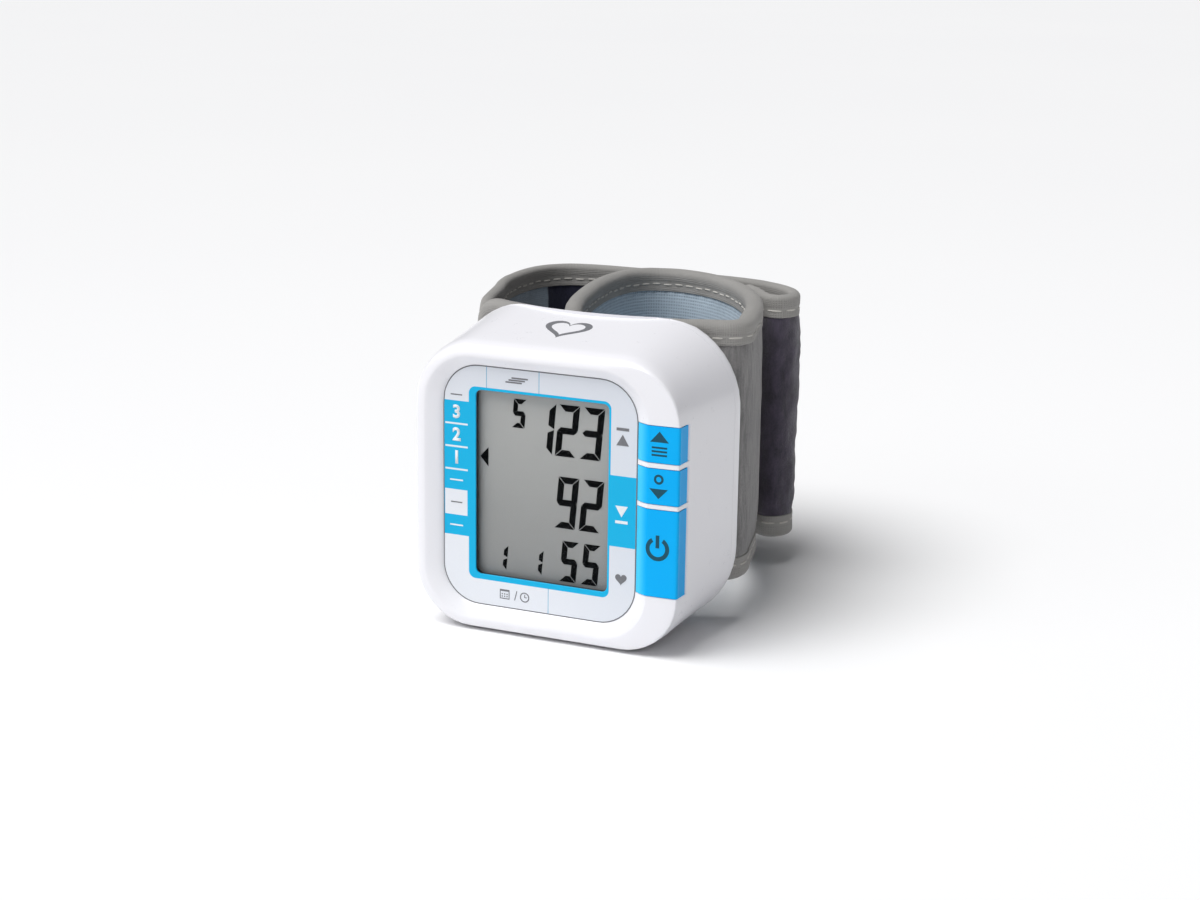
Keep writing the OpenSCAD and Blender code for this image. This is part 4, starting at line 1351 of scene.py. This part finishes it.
def tape_piece(name, route, span, half, top, node, body, seed):
    """The tape profile carried round half of a band's edge, with slight unevenness."""
    profile = tape_profile(half)
    s, z, angle = edge_stations(route.length, span, top)
    t = travelled(s + CORNER * np.cos(angle), z + CORNER * np.sin(angle))
    T, K = np.meshgrid(t, np.arange(len(profile)), indexing="ij")
    slack = 0.07 * smooth_noise(T, profile[K, 1], 5.0, 2.0, seed)
    N = profile[K, 0] * (1 + 0.35 * slack)
    out = CORNER - profile[K, 1] + np.minimum(slack, 0)
    S, Z = s[:, None] + out * np.cos(angle)[:, None], z[:, None] + out * np.sin(angle)[:, None]
    uv = np.stack([T, profile[K, 1] + 3 * np.abs(N)], -1).reshape(-1, 2)
    points = route.place(S, N, Z).reshape(-1, 3)
    piece = put(name, points, tube_faces(len(t), len(profile)), body=body, sharp=50, uv=uv)
    return dress(piece, BINDING, node)


tape_piece("cuff_top_tape", cuff, CUFF_Z, CUFF_THIN, True, "cuff_top_binding", "case", 31)
tape_piece("cuff_bottom_tape", cuff, CUFF_Z, CUFF_THIN, False, "cuff_bottom_binding", "case", 32)
strap_tapes = [
    tape_piece("strap_top_tape", strap, STRAP_Z, STRAP_THIN, True, "strap_top_binding", None, 33),
    tape_piece("strap_bottom_tape", strap, STRAP_Z, STRAP_THIN, False, "strap_bottom_binding", None, 34)]


def stitches(route, span, half):
    """Thread dashes round the tape on both faces: each a small spindle along the stitch line.

    A spindle has five rings of six points and is thinner towards both ends.
    """
    long, thick = 2.6, 0.3
    along_it = np.array([0, 0.12, 0.5, 0.88, 1.0])
    fat = np.array([0.35, 0.85, 1.0, 0.85, 0.35])
    turn = np.linspace(0, 2 * np.pi, 7)[:-1]
    points, faces, uv, base = [], [], [], 0
    for top in (True, False):
        s, z, angle = edge_stations(route.length, span, top)
        s, z = s + (CORNER - STITCH_DOWN) * np.cos(angle), z + (CORNER - STITCH_DOWN) * np.sin(angle)
        t = travelled(s, z)
        starts = np.arange(0.6, t[-1] - long, STITCH_PITCH)
        T = starts[:, None, None] + along_it[None, :, None] * long + 0 * turn
        swing = 0.12 * np.sin(starts * 2.3)[:, None, None]
        radius = thick * fat[None, :, None]
        out = swing + radius * np.sin(turn) + 0 * T
        bearing = np.interp(T, t, angle)
        S, Z = np.interp(T, t, s) + out * np.cos(bearing), np.interp(T, t, z) + out * np.sin(bearing)
        for side in (1, -1):
            N = side * (half + 0.24) + radius * np.cos(turn) + 0 * T
            points.append(route.place(S, N, Z).reshape(-1, 3))
            uv.append(np.stack([T, Z], -1).reshape(-1, 2))
            ring = grid_quads(5, 6, True).reshape(-1, 4)
            offsets = base + 30 * np.arange(len(starts))
            faces.append((offsets[:, None, None] + ring[None]).reshape(-1, 4))
            faces.append(offsets[:, None] + np.arange(6)[None, ::-1])
            faces.append(offsets[:, None] + 24 + np.arange(6)[None, :])
            base += 30 * len(starts)
    return np.concatenate(points), faces, np.concatenate(uv)


def stitch_piece(name, route, span, half, body):
    """All of a band's stitches as one piece."""
    points, faces, uv = stitches(route, span, half)
    return dress(put(name, points, faces, body=body, uv=uv), THREAD)


stitch_piece("cuff_stitches", cuff, CUFF_Z, CUFF_THIN, "case")
strap_stitches = stitch_piece("strap_stitches", strap, STRAP_Z, STRAP_THIN, None)


def web_shape():
    """Sewn web between the cuff's end and the strap: a capsule seen from above, carried along Z.

    Its two ends narrow over the last 1.5 mm along a quarter circle.
    """
    a, b, r = cuff.at(cuff.length), strap.at(0.0), 0.95
    heading = math.atan2(b[1] - a[1], b[0] - a[0])
    turn = heading + np.linspace(-np.pi / 2, np.pi / 2, 9)
    outline_points = np.concatenate([b + r * np.column_stack([np.cos(turn), np.sin(turn)]),
                                     a - r * np.column_stack([np.cos(turn), np.sin(turn)])])
    middle, low, high = (a + b) / 2, STRAP_Z[0] + 3.5, STRAP_Z[1] - 3.5
    close = 1 - np.cos(np.linspace(0, np.pi / 2, 5))
    levels = np.concatenate([low + 1.5 * close, high - 1.5 * close[::-1]])
    rounding = np.sqrt(1 - (1 - close) ** 2)
    share = 0.3 + 0.7 * np.concatenate([rounding, rounding[::-1]])
    rings = [np.column_stack([middle + (outline_points - middle) * k, np.full(len(outline_points), z)])
             for k, z in zip(share, levels)]
    points = np.concatenate(rings)
    return points, tube_faces(len(levels), len(outline_points)), points[:, [2, 0]]


points, faces, uv = web_shape()
dress(put("strap_hinge_web", points, faces, sharp=50, uv=uv), BINDING)


def hook_shape():
    """Hook tape on the inside of the strap's end: a thin pad whose face is rows of small round bumps."""
    low, high = 139.0, 160.0
    s, z = np.arange(low, high, 0.35), np.arange(STRAP_Z[0] + 10, STRAP_Z[1] - 10, 0.4)
    S, Z = np.meshgrid(s, z)
    bump = np.maximum(np.sin(2 * np.pi * S / 1.6) * np.sin(2 * np.pi * Z / 1.6), 0) * 0.3
    base = STRAP_FULL + 0.35
    points, faces = shell(strap.place(S, -(base + 0.3 + bump), Z), strap.place(S, -base + 0 * S, Z))
    uv = np.stack([S, Z], -1).reshape(-1, 2)
    return points, faces, np.concatenate([uv, uv])


points, faces, uv = hook_shape()
hook = put("strap_hook_tape", points, faces, body=None, sharp=60, uv=uv)
dress(hook, HOOKS, "hook_patch")

for piece in [strap_outer, strap_inner, strap_stitches, hook] + strap_tapes:
    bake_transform(piece)


# ---------------------------------------------------------------------------
# Floor, lights and camera
def floor_finish():
    """Plain near-white floor with a faint, very wide cloud."""
    f = Finish("floor", 0.75, Specular_IOR_Level=0.15)
    cloud = f.noise((0.002, 0.002, 0.002), 2.0)
    return f.feed(Base_Color=f.mix(cloud, rgb(250, 250, 250), rgb(247, 247, 248)))


FLOOR_SIDE = 14000.0
corners = np.array([[-1, -1, 0], [1, -1, 0], [1, 1, 0], [-1, 1, 0]]) * FLOOR_SIDE / 2
floor = put("floor", corners, [np.array([[0, 1, 2, 3]])], body=None)
floor_finish().on(floor)


def aimed(name, data, position, target):
    """A lamp or camera object at a position, looking at a target; both in millimetres."""
    made = bpy.data.objects.new(name, data)
    bpy.context.scene.collection.objects.link(made)
    made.location = Vector(position) * MM
    made.rotation_euler = (Vector(target) - Vector(position)).to_track_quat("-Z", "Y").to_euler()
    return made


sun = bpy.data.lights.new("sky light", "SUN")
sun.energy = 2.95
sun.angle = math.radians(45)
aimed("sky light", sun, (-420, -480, 1400), (0, 20, 30))


def softbox(name, energy, width, height, position):
    """A rectangular lamp aimed at the case."""
    lamp = bpy.data.lights.new(name, "AREA")
    lamp.shape = "RECTANGLE"
    lamp.energy, lamp.size, lamp.size_y = energy, width * MM, height * MM
    return aimed(name, lamp, position, (0, 20, 40))


softbox("front softbox", 0.7, 420, 420, (-480, -600, 420))
softbox("top softbox", 0.22, 420, 300, (60, 60, 700))

world = bpy.data.worlds.new("studio")
bpy.context.scene.world = world
world.use_nodes = True
background = next(n for n in world.node_tree.nodes if n.type == "BACKGROUND")
background.inputs["Color"].default_value = rgb(250, 251, 255)
background.inputs["Strength"].default_value = 0.16
bpy.context.scene.view_settings.view_transform = "Standard"

# The camera stands in front, to the right and a little above, with a slight roll
CAMERA_AT = Vector((226.55, -490.85, 183.2)) * MM
AZIMUTH, ELEVATION, ROLL = (math.radians(a) for a in (24.0, 14.4, 0.79))
right = Vector((math.cos(AZIMUTH), math.sin(AZIMUTH), 0))
back = Vector((math.sin(AZIMUTH) * math.cos(ELEVATION), -math.cos(AZIMUTH) * math.cos(ELEVATION),
               math.sin(ELEVATION)))
up_axis = back.cross(right)
rolled_x = right * math.cos(ROLL) + up_axis * math.sin(ROLL)
rolled_y = up_axis * math.cos(ROLL) - right * math.sin(ROLL)
lens = bpy.data.cameras.new("camera")
lens.sensor_width = 36.0
lens.lens = 68.67
lens.clip_start = 0.01
camera = bpy.data.objects.new("camera", lens)
bpy.context.scene.collection.objects.link(camera)
facing = Matrix((rolled_x, rolled_y, back)).transposed().to_4x4()
camera.matrix_world = Matrix.Translation(CAMERA_AT) @ facing
bpy.context.scene.camera = camera
